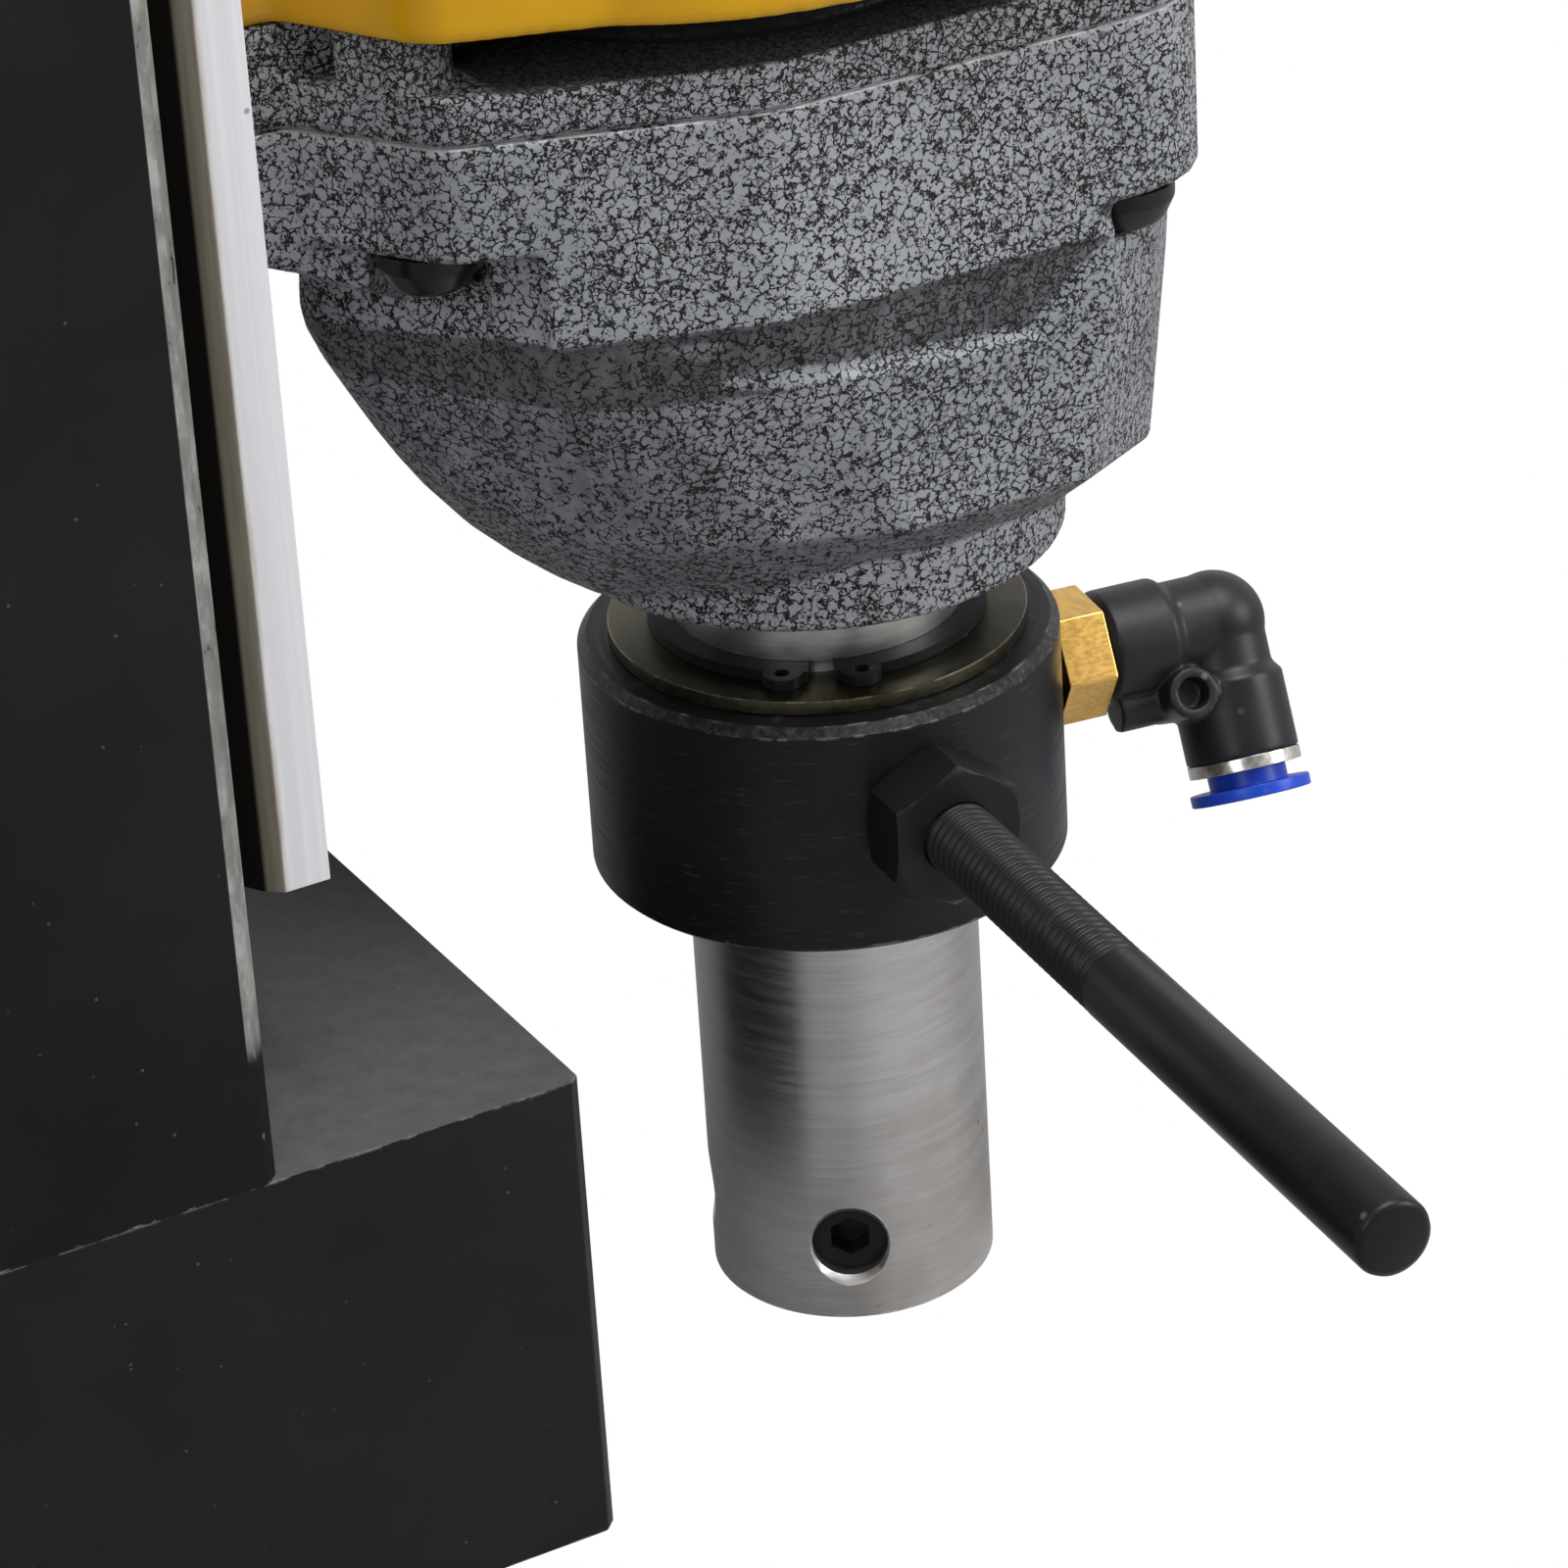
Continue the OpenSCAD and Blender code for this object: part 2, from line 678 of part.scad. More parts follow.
// Controls on the rear cover

module power_rocker() {
  color("#c23a2c") translate([cover_x - 1, 0, rocker_z]) rotate([0, -90, 0]) rotate([0, 8, 0]) {
    translate([-12, -9, -2]) cube([24, 18, 5]);
    rotate([90, 0, 0]) translate([0, 0, -9.3]) cylinder(r = 2, h = 18.6);
  }
}

module start_button() {
  color("#2c9a4b") translate([cover_x, 0, start_z]) rotate([0, -90, 0]) {
    translate([0, 0, -cover_t - 1]) cylinder(r = 7.5, h = cover_t + 5.5);
    translate([0, 0, 4.4]) cylinder(r1 = 7.5, r2 = 6.5, h = 1);
  }
}

module stop_button() {
  color("#c22a22") translate([cover_x, 0, stop_z]) rotate([0, -90, 0]) {
    translate([0, 0, -cover_t - 1]) cylinder(r = 7.5, h = cover_t + 11);
    translate([0, 0, 9]) cylinder(r = 11, h = 4);
    translate([0, 0, 12.9]) cylinder(r1 = 11, r2 = 9, h = 1.5);
  }
}

// Feed shaft, hub and handles

// Place along the feed shaft's axis, which runs across the drill
module at_feed() {
  translate([feed_x, 0, feed_z]) rotate([-90, 0, 0]) children();
}

module feed_shaft() {
  color("#8d9094") at_feed() {
    difference() {
      translate([0, 0, -half_w - bush_flange_t - 0.5])
        cylinder(r = feed_shaft_r, h = hub_y0 + hub_l - 6 + half_w + bush_flange_t);
      translate([0, 0, -half_w - bush_flange_t - 1]) cylinder(r = 2.55, h = 13);
      translate([0, 0, hub_y0 + hub_l - 6 - 12]) cylinder(r = 2.55, h = 20);
    }
    translate([0, 0, -rack_w / 2]) linear_extrude(rack_w)
      rotate(180 / feed_teeth) polygon(gear_points(rack_m, feed_teeth));
  }
}

// Washer and screw at each end of the feed shaft
module shaft_retainer() {
  color("#6d7074") at_feed() {
    for (s = [0, 1])
      translate([0, 0, s == 0 ? -half_w - bush_flange_t - 0.5 : hub_y0 + hub_l - 6.5])
      rotate([180 * (1 - s), 0, 0]) {
        translate([0, 0, seat_gap]) cylinder(r = 12, h = retainer_t);
        translate([0, 0, retainer_t]) cap_screw(2.5, 4.25, 3, 12);
      }
  }
}

module spoke_places() {
  translate([feed_x, hub_y, feed_z])
    for (a = [0:120:240]) rotate([0, a, 0]) rotate([-spoke_lean, 0, 0]) children();
}

module handle_hub() {
  color("#222326") difference() {
    at_feed() translate([0, 0, hub_y0]) rotate_extrude()
      polygon(rounded([[feed_shaft_r + seat_gap, 0, 0], [hub_r - 4, 0, 1.5], [hub_r, 7, 3], [hub_r, hub_l - 6, 3],
        [hub_r - 6, hub_l, 2], [12.4, hub_l, 0], [12.4, hub_l - 6.5, 0], [feed_shaft_r + seat_gap, hub_l - 6.5, 0]], 4));
    spoke_places() translate([0, 0, spoke_root]) cylinder(r = spoke_r + seat_gap, h = 30);
  }
}

module handle_spokes() {
  color("#a6a9ad") spoke_places()
    translate([0, 0, spoke_root]) cylinder(r = spoke_r, h = spoke_reach - spoke_root);
}

// Tapered grips, each bored to take the end of its spoke
module handle_knobs() {
  color("#121314") spoke_places() translate([0, 0, spoke_reach - 16]) rotate_extrude()
    polygon(rounded([[spoke_r + seat_gap, 0, 0], [knob_r * 0.62, 0, 2], [knob_r * 0.72, knob_l * 0.3, 8],
      [knob_r, knob_l * 0.68, 9], [knob_r * 0.72, knob_l, 8], [0, knob_l, 0], [0, 16.1, 0],
      [spoke_r + seat_gap, 16.1, 0]], 4));
}

// Pieces of the slide

module slide_bar() {
  plate_x = slide_x1 - slide_t;
  half = slide_w / 2;
  bevel = 2.2;
  color("#b9bbbd") difference() {
    translate([0, 0, slide_z0]) linear_extrude(slide_len)
      polygon([[slide_x1, -half], [plate_x, -half], [plate_x - bevel, -half + bevel * 0.85],
        [neck_x, -dove_half], [dove_x1, -dove_half], [dove_x0, -flank(dove_x0, 0)],
        [dove_x0, flank(dove_x0, 0)], [dove_x1, dove_half], [neck_x, dove_half],
        [plate_x - bevel, half - bevel * 0.85], [plate_x, half], [slide_x1, half]]);
    for (z = mount_zs, s = [-1, 1]) translate([dove_x0, s * mount_y, z]) rotate([0, 90, 0]) {
      translate([0, 0, -1]) cylinder(r = mount_r + seat_gap, h = 60);
      translate([0, 0, -1]) cylinder(r = mount_head_r + 0.15, h = mount_head_h + 2);
    }
    for (z = rack_screw_zs) translate([slide_x1, 0, z]) rotate([0, 90, 0]) {
      translate([0, 0, -60]) cylinder(r = mount_r + seat_gap, h = 61);
      translate([0, 0, -mount_head_h - 1]) cylinder(r = mount_head_r + 0.15, h = mount_head_h + 2);
    }
  }
}

// Rack teeth face back towards the feed pinion
module feed_rack() {
  teeth = floor(rack_len / pitch);
  low = rack_z0 - feed_z;
  first = ceil((low + pitch) / pitch);
  last = floor((low + rack_len - pitch) / pitch);
  tip = rack_x - rack_m * 0.95;
  root = rack_x + rack_m * 1.15;
  w_tip = pitch * 0.15;
  w_root = pitch * 0.33;
  color("#84878b") difference() {
    translate([0, rack_w / 2, feed_z]) rotate([90, 0, 0]) linear_extrude(rack_w)
      polygon(concat([[dove_x0 - tiny, low], [root, low]],
        [for (i = [first:last]) each [[root, i * pitch - w_root], [tip, i * pitch - w_tip],
          [tip, i * pitch + w_tip], [root, i * pitch + w_root]]],
        [[root, low + rack_len], [dove_x0 - tiny, low + rack_len]]));
    for (z = rack_screw_zs) translate([root + 1, 0, z]) rotate([0, 90, 0])
      cylinder(r = mount_r + seat_gap, h = 20);
  }
}

// Cap screws that hold the rack to the slide, and the slide to the gear case and its lid
module slide_screws() {
  reach = slide_x1 - dove_x0 - mount_head_h - 1;
  color("#37383a") {
    for (z = rack_screw_zs) translate([slide_x1 - mount_head_h - 1, 0, z]) rotate([0, 90, 0])
      cap_screw(mount_r, mount_head_r, mount_head_h, reach + 6);
    for (z = mount_zs, s = [-1, 1]) translate([dove_x0 + mount_head_h + 1, s * mount_y, z])
      rotate([0, -90, 0]) cap_screw(mount_r, mount_head_r, mount_head_h, reach + 10);
  }
}

// Pieces of the gear case

function rim_points() =
  rounded(mirrored([[pad_x, pad_half, 0], [knee_x, pad_half, 2], [shoulder_x, shoulder_y, 9],
    [side_x, rim_half, 18], [rim_front, rim_half, 14]]));

function housing_points() =
  rounded(mirrored([[pad_x, pad_half, 0], [knee_x, pad_half, 2], [shoulder_x - 1.5, shoulder_y + 0.8, 9],
    [-12, flange_half, 16], [flange_front, flange_half, 14]]));

function screw_spots() = [for (s = [-1, 1], p = [rear_screw, front_screw]) [p[0], s * p[1]]];
function roof_z(p) = p[0] < 0 ? hull_z1 : front_roof_z;

function mirrored_plain(pts) =
  concat([for (p = pts) [p[0], -p[1]]], [for (i = [len(pts) - 1:-1:0]) pts[i]]);

function arc(r, from, to) =
  [for (k = [0:4]) let (a = from + (to - from) * k / 4) [r * cos(a), r * sin(a)]];

// Outline of the rim, whose front bulges over the bowl
module rim_shape(extra) {
  polygon(rim_points());
  intersection() {
    circle(r = bulge_r + extra);
    translate([0, 13 - rim_half]) square([80, 2 * (rim_half - 13)]);
  }
}

// Body under the rim: a bowl round the arbor that runs back to a keel.
// Slices give its round front, and rods across it give the keel and the ridge beside the keel.
module case_hull() {
  wide = rim_half - 0.3;
  waist = nose_r - 0.4;
  slices = [
    [rim_z0 + 0.3, concat([[-67.3, 1.5], [-66, 4], [-50.9, 31], [-44, 34.5], [-19.5, wide], [19.5, wide]],
      arc(bowl_r, 64, 0))],
    [channel_z0 + 2.5, [[-62, 1.5], [-41, 31.8], [-33.6, 36.5], [-24.1, 40], [0, 41]]],
    [channel_z0 - 0.5, concat([[-60, 1.5], [-16, wide - 1], [20.2, wide - 1]], arc(bowl_r - 0.8, 64, 0))],
    [bowl_z0 + 0.3, [[-42, 19.4], [-36.9, 26.5], [-31.9, 30.1], [-22.8, 34.7], [-8.6, 40.4], [5, 40.8],
      [bowl_low_r * cos(67), bowl_low_r * sin(67)]]],
    [bowl_z0 - 5.4, concat([[-34, 1.5]], arc(bowl_low_r - 0.4, 33, 0))],
    [nose_z0 + 8.8, [for (a = [110, 90, 70]) [waist * cos(a), waist * sin(a)]]],
    [nose_z0 + 5.7, [for (a = [130, 50]) [waist * cos(a), waist * sin(a)]]],
    [nose_z0 + 3, concat([[-35, 9]], arc(waist, 33, 0))]
  ];
  rods = [[-67.4, 1.5, -2], [-67, 1.5, -4.6], [-65.3, 1.5, -8.7], [-63.1, 1.5, -12.9], [-59.3, 1.5, -19.9],
    [-56.4, 1.5, -24.8], [-53.4, 1.5, -29.3], [-48.3, 1.5, -35.7], [-42.9, 1.5, -41], [-37.5, 1.5, -45.6],
    [-58, 5.5, -20.5], [-53.2, 10, -25.6], [-46.3, 14, -30.8], [-43, 15.8, -34.7]];
  hull() {
    for (p = slices) translate([0, 0, p[0]]) linear_extrude(0.4) polygon(mirrored_plain(p[1]));
    for (p = rods) translate([p[0], -p[1], rim_z0 + p[2]]) cube([0.4, 2 * p[1], 0.4]);
  }
}

// Cutter for a wall that leans in below the rim, from its top edge at y = 0
module leaning_wall(length) {
  translate([0, 0, channel_z0]) rotate([90, 0, 90]) linear_extrude(length)
    polygon([[-20, 0], [1.9, 0], [0, rim_z0 - channel_z0], [-20, rim_z0 - channel_z0]]);
}

module gear_case() {
  pocket = [[-90, pad_half], [knee_x, pad_half], [-66.3, 16.3], [-60.3, 20.3], [-57.2, 25.8], [-51.4, 32],
    [-51.4, 60], [-90, 60]];
  color("#8b8d90") at_arbor() difference() {
    union() {
      difference() {
        translate([0, 0, rim_z0]) linear_extrude(rim_depth) rim_shape(0);
        // Open corners under the rim for the screw heads, and its rising underside at the rear
        for (s = [0, 1]) mirror([0, s, 0]) {
          translate([0, 0, rim_z0 - 1]) linear_extrude(hull_z1 - rim_z0 + 1) polygon(pocket);
          translate([18, 30, rim_z0 - 1]) cube([40, 43, front_roof_z - rim_z0 + 1]);
        }
        for (p = screw_spots()) translate([p[0], p[1], rim_z0 - 1])
          cylinder(r = recess_r, h = roof_z(p) - rim_z0 + 1);
        translate([0, 60, 0]) rotate([90, 0, 0]) linear_extrude(120)
          polygon([[-51.4, rim_z0 - 1], [-92, rim_z0 + 16.8], [-92, rim_z0 - 2], [-51.4, rim_z0 - 2]]);
      }
      case_hull();
      translate([0, 0, rim_z0 - 1]) linear_extrude(hull_z1 - rim_z0 + 1.5)
        polygon(mirrored_plain([[-67, 2], [-65.5, 4.3], [-50.9, 30.2], [-20, 36], [10, 20]]));
      intersection() {
        translate([0, 0, rim_z0 - 2]) cylinder(r = bowl_r - 0.6, h = front_roof_z - rim_z0 + 2.5);
        translate([18, -60, 0]) cube([60, 120, parting_z]);
      }
      translate([0, 0, nose_z0]) cylinder(r = nose_r, h = bowl_z0 - nose_z0);
    }
    // Undercut below the rim on both sides, which fades out towards the pad
    intersection() {
      translate([0, 60, 0]) rotate([90, 0, 0]) linear_extrude(120)
        polygon([[10, channel_z0], [21.5, rim_z0], [-52.5, rim_z0], [-50, rim_z0 - 3], [-41, channel_z0 + 3.8]]);
      for (s = [0, 1]) mirror([0, s, 0]) {
        translate([-18, 0.5 - rim_half, 0]) leaning_wall(50);
        translate([-53, 10.1 - rim_half, 0]) rotate([0, 0, -15.3]) leaning_wall(36.5);
      }
    }
    for (p = screw_spots()) translate([p[0], p[1], 0]) {
      translate([0, 0, roof_z(p) - case_head_h - 0.6]) cylinder(r = recess_r - 0.5, h = case_head_h + 0.6);
      translate([0, 0, rim_z0]) cylinder(r = case_screw_r + seat_gap, h = rim_depth + 2);
    }
    // Lower bearing's pocket, the lip above it and the gears' hollow
    translate([0, 0, nose_z0 - 1]) cylinder(r = low_bearing[1] + seat_gap, h = lip_z - nose_z0 + 1);
    translate([0, 0, nose_z0]) cylinder(r = lip_r, h = case_depth);
    translate([0, 0, cavity_z0]) cylinder(r = ledge_r, h = case_depth);
    translate([0, 0, plate_z0]) cylinder(r = cavity_r, h = case_depth);
    translate([counter_x - arbor_x, 0, cavity_z0]) cylinder(r = 12, h = case_depth);
    translate([counter_x - arbor_x, 0, plate_z0]) cylinder(r = lobe_r, h = case_depth);
    translate([counter_x - arbor_x, 0, counter_z0]) cylinder(r = counter_bearing[1] + seat_gap, h = case_depth);
    for (s = [-1, 1]) translate([pad_x - 1, s * mount_y, mount_zs[0]]) rotate([0, 90, 0])
      cylinder(r = mount_r + seat_gap, h = 12);
  }
}

// Flange with a set-back neck, and a flat-faced boss over each rear screw
module gear_case_lid() {
  top = lid_t + lid_neck;
  color("#8b8d90") at_arbor() difference() {
    union() {
      translate([0, 0, parting_z]) linear_extrude(lid_t) rim_shape(0);
      translate([-motor_offset, 0, parting_z]) cylinder(r = 35, h = top);
      translate([pad_x, -pad_half, parting_z]) cube([40, 2 * pad_half, top]);
      translate([-58, -17, parting_z]) cube([30, 34, top]);
      for (s = [-1, 1]) {
        intersection() {
          translate([-62.5, s * 20, parting_z]) cylinder(r = 6.3, h = top);
          translate([0, 0, parting_z - 1]) linear_extrude(top + 2) polygon(rim_points());
        }
        translate([rear_screw[0], s * rear_screw[1], parting_z]) cylinder(r = 4.8, h = top);
        translate([front_screw[0], s * front_screw[1], parting_z]) cylinder(r = 6.4, h = top);
      }
    }
    for (p = screw_spots()) translate([p[0], p[1], parting_z - 1])
      cylinder(r = case_screw_r + seat_gap, h = top + 2);
    translate([-motor_offset, 0, parting_z - 1]) cylinder(r = 9, h = 30);
    translate([-motor_offset, 0, motor_bearing_z]) cylinder(r = motor_bearing[1] + seat_gap, h = 30);
    for (s = [-1, 1]) translate([pad_x - 1, s * mount_y, mount_zs[1]]) rotate([0, 90, 0])
      cylinder(r = mount_r + seat_gap, h = 12);
  }
}

// Pan head screws that enter from below and clamp case, lid and motor housing
module case_screws() {
  color("#18191a") at_arbor() for (p = screw_spots()) translate([p[0], p[1], roof_z(p) - seat_gap]) {
    difference() {
      rotate([180, 0, 0]) rotate_extrude()
        polygon(rounded([[0, 0, 0], [case_head_r, 0, 0], [case_head_r, 2, 1.2], [case_head_r - 1.6, case_head_h, 2],
          [0, case_head_h, 0]], 3));
      for (a = [0, 90]) rotate([0, 0, a]) translate([-3.2, -0.6, -case_head_h - 1]) cube([6.4, 1.2, 3.4]);
    }
    cylinder(r = case_screw_r, h = housing_z0 + 14 - roof_z(p));
  }
}

// Plate across the gear case that carries the upper ends of spindle and countershaft
module bearing_plate() {
  cx = counter_x - arbor_x;
  color("#9a9da1") at_arbor() difference() {
    union() {
      translate([0, 0, plate_z0]) cylinder(r = cavity_r - 0.1, h = plate_z1 - plate_z0);
      intersection() {
        translate([cx, 0, plate_z0]) cylinder(r = lobe_r - 0.1, h = plate_z1 - plate_z0);
        translate([-90, -45, 0]) cube([90, 90, parting_z]);
      }
      for (p = pillar_spots) translate([p[0], p[1], plate_z1 - 1])
        cylinder(r = pillar_r, h = parting_z - plate_z1 + 1 - seat_gap);
    }
    translate([0, 0, top_bearing_z]) cylinder(r = top_bearing[1] + seat_gap, h = 40);
    translate([0, 0, plate_z0 - 1]) cylinder(r = gear_seat_r + 1, h = 10);
    translate([cx, 0, counter_top_z]) cylinder(r = counter_bearing[1] + seat_gap, h = 40);
    translate([cx, 0, plate_z0 - 1]) cylinder(r = 8.5, h = 10);
  }
}

// One bearing as a ring with a shallow groove on both faces
module bearing(size) {
  r = size[0];
  out = size[1];
  h = size[2];
  groove = (out - r) * 0.3;
  rotate_extrude() polygon([[r + run_gap, 0], [r + groove, 0], [r + groove, 0.5], [out - groove, 0.5],
    [out - groove, 0], [out, 0], [out, h], [out - groove, h], [out - groove, h - 0.5],
    [r + groove, h - 0.5], [r + groove, h], [r + run_gap, h]]);
}

module ball_bearings() {
  color("#c9cbce") {
    translate([arbor_x, 0, low_bearing_z]) bearing(low_bearing);
    translate([arbor_x, 0, top_bearing_z + seat_gap]) bearing(top_bearing);
    translate([counter_x, 0, counter_z0 + seat_gap]) bearing(counter_bearing);
    translate([counter_x, 0, counter_top_z + seat_gap]) bearing(counter_bearing);
    translate([motor_x, 0, motor_bearing_z + seat_gap]) bearing(motor_bearing);
    translate([motor_x, 0, top_bearing_end - counter_bearing[2] - seat_gap]) bearing(counter_bearing);
  }
}

module oil_seal() {
  color("#17181a") at_arbor() translate([0, 0, seal_z0]) rotate_extrude()
    polygon([[arbor_r + run_gap, 0.4], [arbor_r + 1.5, 0], [low_bearing[1], 0], [low_bearing[1], seal_h],
      [arbor_r + 2.5, seal_h], [arbor_r + 2.5, 2], [arbor_r + run_gap, 1.6]]);
}

// Pieces of the motor

module motor_housing() {
  color("#d99a00") at_arbor() difference() {
    union() {
      translate([0, 0, housing_z0]) linear_extrude(flange_h) {
        polygon(housing_points());
        intersection() {
          circle(r = bulge_r + 3.6);
          translate([0, -28]) square([80, 56]);
        }
      }
      translate([-motor_offset, 0, housing_z0]) cylinder(r = motor_r, h = motor_h);
    }
    translate([-motor_offset, 0, housing_z0 - 1]) cylinder(r = motor_inner_r, h = motor_h + 2);
    for (p = screw_spots()) translate([p[0], p[1], housing_z0 - 1])
      cylinder(r = case_screw_r + seat_gap, h = 16);
    // Outlet slots low on the barrel, and screw holes for the end cap
    for (a = [-42:14:42]) rotate([0, 0, a]) translate([20, -2, housing_z0 + flange_h + 5]) cube([45, 4, 12]);
    for (a = cap_screw_angles) translate([-motor_offset, 0, housing_z1 - 14]) rotate([0, 0, a])
      translate([cap_screw_ring, 0, 0]) cylinder(r = cap_screw_r + seat_gap, h = 20);
  }
  // Bosses inside the barrel for the end cap's screws
  color("#d99a00") at_motor() intersection() {
    for (a = cap_screw_angles) rotate([0, 0, a]) translate([cap_screw_ring, 0, housing_z1 - 14]) difference() {
      cylinder(r = 6.2, h = 14);
      translate([0, 0, -1]) cylinder(r = cap_screw_r + seat_gap, h = 20);
    }
    cylinder(r = motor_inner_r + 1, h = 1000);
  }
}

// Black cap with air slots round its side and on its crown
module end_cap() {
  crown = 11;
  color("#151617") at_motor() difference() {
    union() {
      translate([0, 0, housing_z1]) rotate_extrude() polygon(rounded([[0, 12, 0], [cap_r - cap_wall, 12, 0],
        [cap_r - cap_wall, 0, 0], [cap_r, 0, 0], [cap_r, cap_h - 9, 6], [cap_r - 9, cap_h, 6], [0, cap_h, 0]], 5));
      for (a = cap_screw_angles) rotate([0, 0, a]) intersection() {
        translate([cap_screw_ring, 0, housing_z1]) cylinder(r = 6.2, h = cap_h - 6);
        translate([0, 0, housing_z1]) cylinder(r = cap_r - 1, h = cap_h);
      }
    }
    difference() {
      translate([0, 0, housing_z1 - 1]) cylinder(r = cap_r - cap_wall, h = cap_h - crown + 1);
      for (a = cap_screw_angles) rotate([0, 0, a])
        translate([cap_screw_ring, 0, housing_z1 - 2]) cylinder(r = 6.2, h = cap_h);
      translate([0, 0, top_bearing_end - 9]) cylinder(r = 14, h = 30);
    }
    translate([0, 0, top_bearing_end - 10]) cylinder(r = counter_bearing[1] + seat_gap, h = 10);
    for (k = [0:cap_slots - 1]) rotate([0, 0, (k + 0.5) * 360 / cap_slots])
      translate([cap_r - 8, -1.8, housing_z1 + 24]) cube([12, 3.6, 14]);
    for (s = [-1, 1], k = [2:4]) translate([-17, s * k * 7 - 1.5, cap_z1 - crown - 1])
      cube([34, 3, crown + 2]);
    for (s = [-1, 1]) translate([0, 0, brush_z]) rotate([90 * s, 0, 0])
      translate([0, 0, cap_r - 14]) cylinder(r = 9 + seat_gap, h = 20);
    for (a = cap_screw_angles) rotate([0, 0, a]) translate([cap_screw_ring, 0, 0]) {
      translate([0, 0, housing_z1 - 1]) cylinder(r = cap_screw_r + seat_gap, h = cap_h + 2);
      translate([0, 0, cap_z1 - 10]) cylinder(r = 4, h = 12);
    }
    rotate([0, 0, lead_angle]) translate([cap_r - 11, 0, housing_z1 + 16]) rotate([0, 90, 0])
      cylinder(r = 6.1, h = 12);
  }
}

module end_cap_screws() {
  color("#303134") at_motor() for (a = cap_screw_angles) rotate([0, 0, a])
    translate([cap_screw_ring, 0, cap_z1 - 10]) cap_screw(cap_screw_r, 3.6, 3, cap_h + 1);
}

module stator_core() {
  color("#6d7074") at_motor() translate([0, 0, core_z0]) difference() {
    cylinder(r = stator_r, h = core_h);
    translate([0, 0, -1]) cylinder(r = air_r, h = core_h + 2);
    for (a = [50, 130, 230, 310]) rotate([0, 0, a]) translate([28, -5, -1]) cube([11, 10, core_h + 2]);
  }
}

// Two coils, each with two straight sides in the core and an arc at both ends
module field_coils() {
  over = 5;
  color("#a35c2c") at_motor() for (t = [0, 180]) rotate([0, 0, t]) {
    for (a = [50, 130]) rotate([0, 0, a]) translate([28.5, -4.5, core_z0 - over]) cube([10, 9, core_h + 2 * over]);
    for (z = [core_z0 - over, core_z0 + core_h + 0.3]) translate([0, 0, z]) rotate([0, 0, 50])
      rotate_extrude(angle = 80) translate([29, 0]) square([9, over - 0.3]);
  }
}

module brush_holders() {
  color("#17181a") at_motor() for (s = [0, 180]) rotate([0, 0, s]) translate([0, 0, brush_z]) rotate([90, 0, 0])
    difference() {
      union() {
        translate([-6, -7, commutator_r + 2]) cube([12, 14, 18]);
        translate([0, 0, commutator_r + 18]) cylinder(r = 9, h = cap_r - commutator_r - 16);
      }
      translate([-3.6, -4.6, commutator_r]) cube([7.2, 9.2, 24]);
      translate([-6, -0.8, cap_r + 0.6]) cube([12, 1.6, 4]);
    }
}

module carbon_brushes() {
  color("#2b2b2d") at_motor() for (s = [0, 180]) rotate([0, 0, s]) translate([0, 0, brush_z]) rotate([90, 0, 0])
    difference() {
      translate([-3.5, -4.5, commutator_r - 2]) cube([7, 9, 20]);
      rotate([90, 0, 0]) cylinder(r = commutator_r + 0.3, h = 40, center = true);
    }
}

// Rubber ring where the motor's lead enters the end cap
module lead_grommet() {
  color("#1b1c1d") at_motor() rotate([0, 0, lead_angle]) translate([cap_r, 0, housing_z1 + 16])
    rotate([0, 90, 0]) difference() {
      union() {
        translate([0, 0, -4]) cylinder(r = 6, h = 6);
        translate([0, 0, 0.3]) cylinder(r = 7.6, h = 3);
      }
      translate([0, 0, -5]) cylinder(r = 3.5, h = 12);
    }
}

module armature_shaft() {
  step_z = commutator_z + commutator_h + 2;
  color("#a9acb0") at_motor() {
    translate([0, 0, gear1_z - 1]) linear_extrude(motor_pinion_h)
      rotate(pinion_turn) polygon(gear_points(gear_m1, pinion_z1));
    translate([0, 0, gear1_z + motor_pinion_h - 1 - tiny])
      cylinder(r = motor_bearing[0] - 1, h = motor_bearing_z - gear1_z - motor_pinion_h + 1.1);
    translate([0, 0, motor_bearing_z + seat_gap]) cylinder(r = motor_bearing[0], h = step_z - motor_bearing_z);
    translate([0, 0, step_z]) cylinder(r = counter_bearing[0], h = top_bearing_end - step_z - 0.5);
  }
}

module armature_core() {
  color("#5c5f63") at_motor() translate([0, 0, core_z0]) difference() {
    cylinder(r = core_r, h = core_h);
    translate([0, 0, -1]) cylinder(r = motor_bearing[0] + seat_gap, h = core_h + 2);
    for (k = [0:armature_slots - 1]) rotate([0, 0, k * 360 / armature_slots])
      translate([core_r - 9, -1.5, -1]) cube([10, 3, core_h + 2]);
  }
}

// Wire in the core's slots, joined by an end turn above and one below
module armature_windings() {
  turn_h = 8.5;
  bore = motor_bearing[0] + seat_gap;
  ring = rounded([[bore, 0, 0], [19, 0, 5], [21.5, turn_h, 2], [bore, turn_h, 0]], 3);
  color("#b3622d") at_motor() {
    translate([0, 0, core_z0 + core_h + turn_h + seat_gap]) mirror([0, 0, 1]) rotate_extrude() polygon(ring);
    translate([0, 0, core_z0 - turn_h - seat_gap]) rotate_extrude() polygon(ring);
    for (k = [0:armature_slots - 1]) rotate([0, 0, k * 360 / armature_slots])
      translate([core_r - 8.8, -1.3, core_z0 - 1]) cube([4.8, 2.6, core_h + 2]);
  }
}

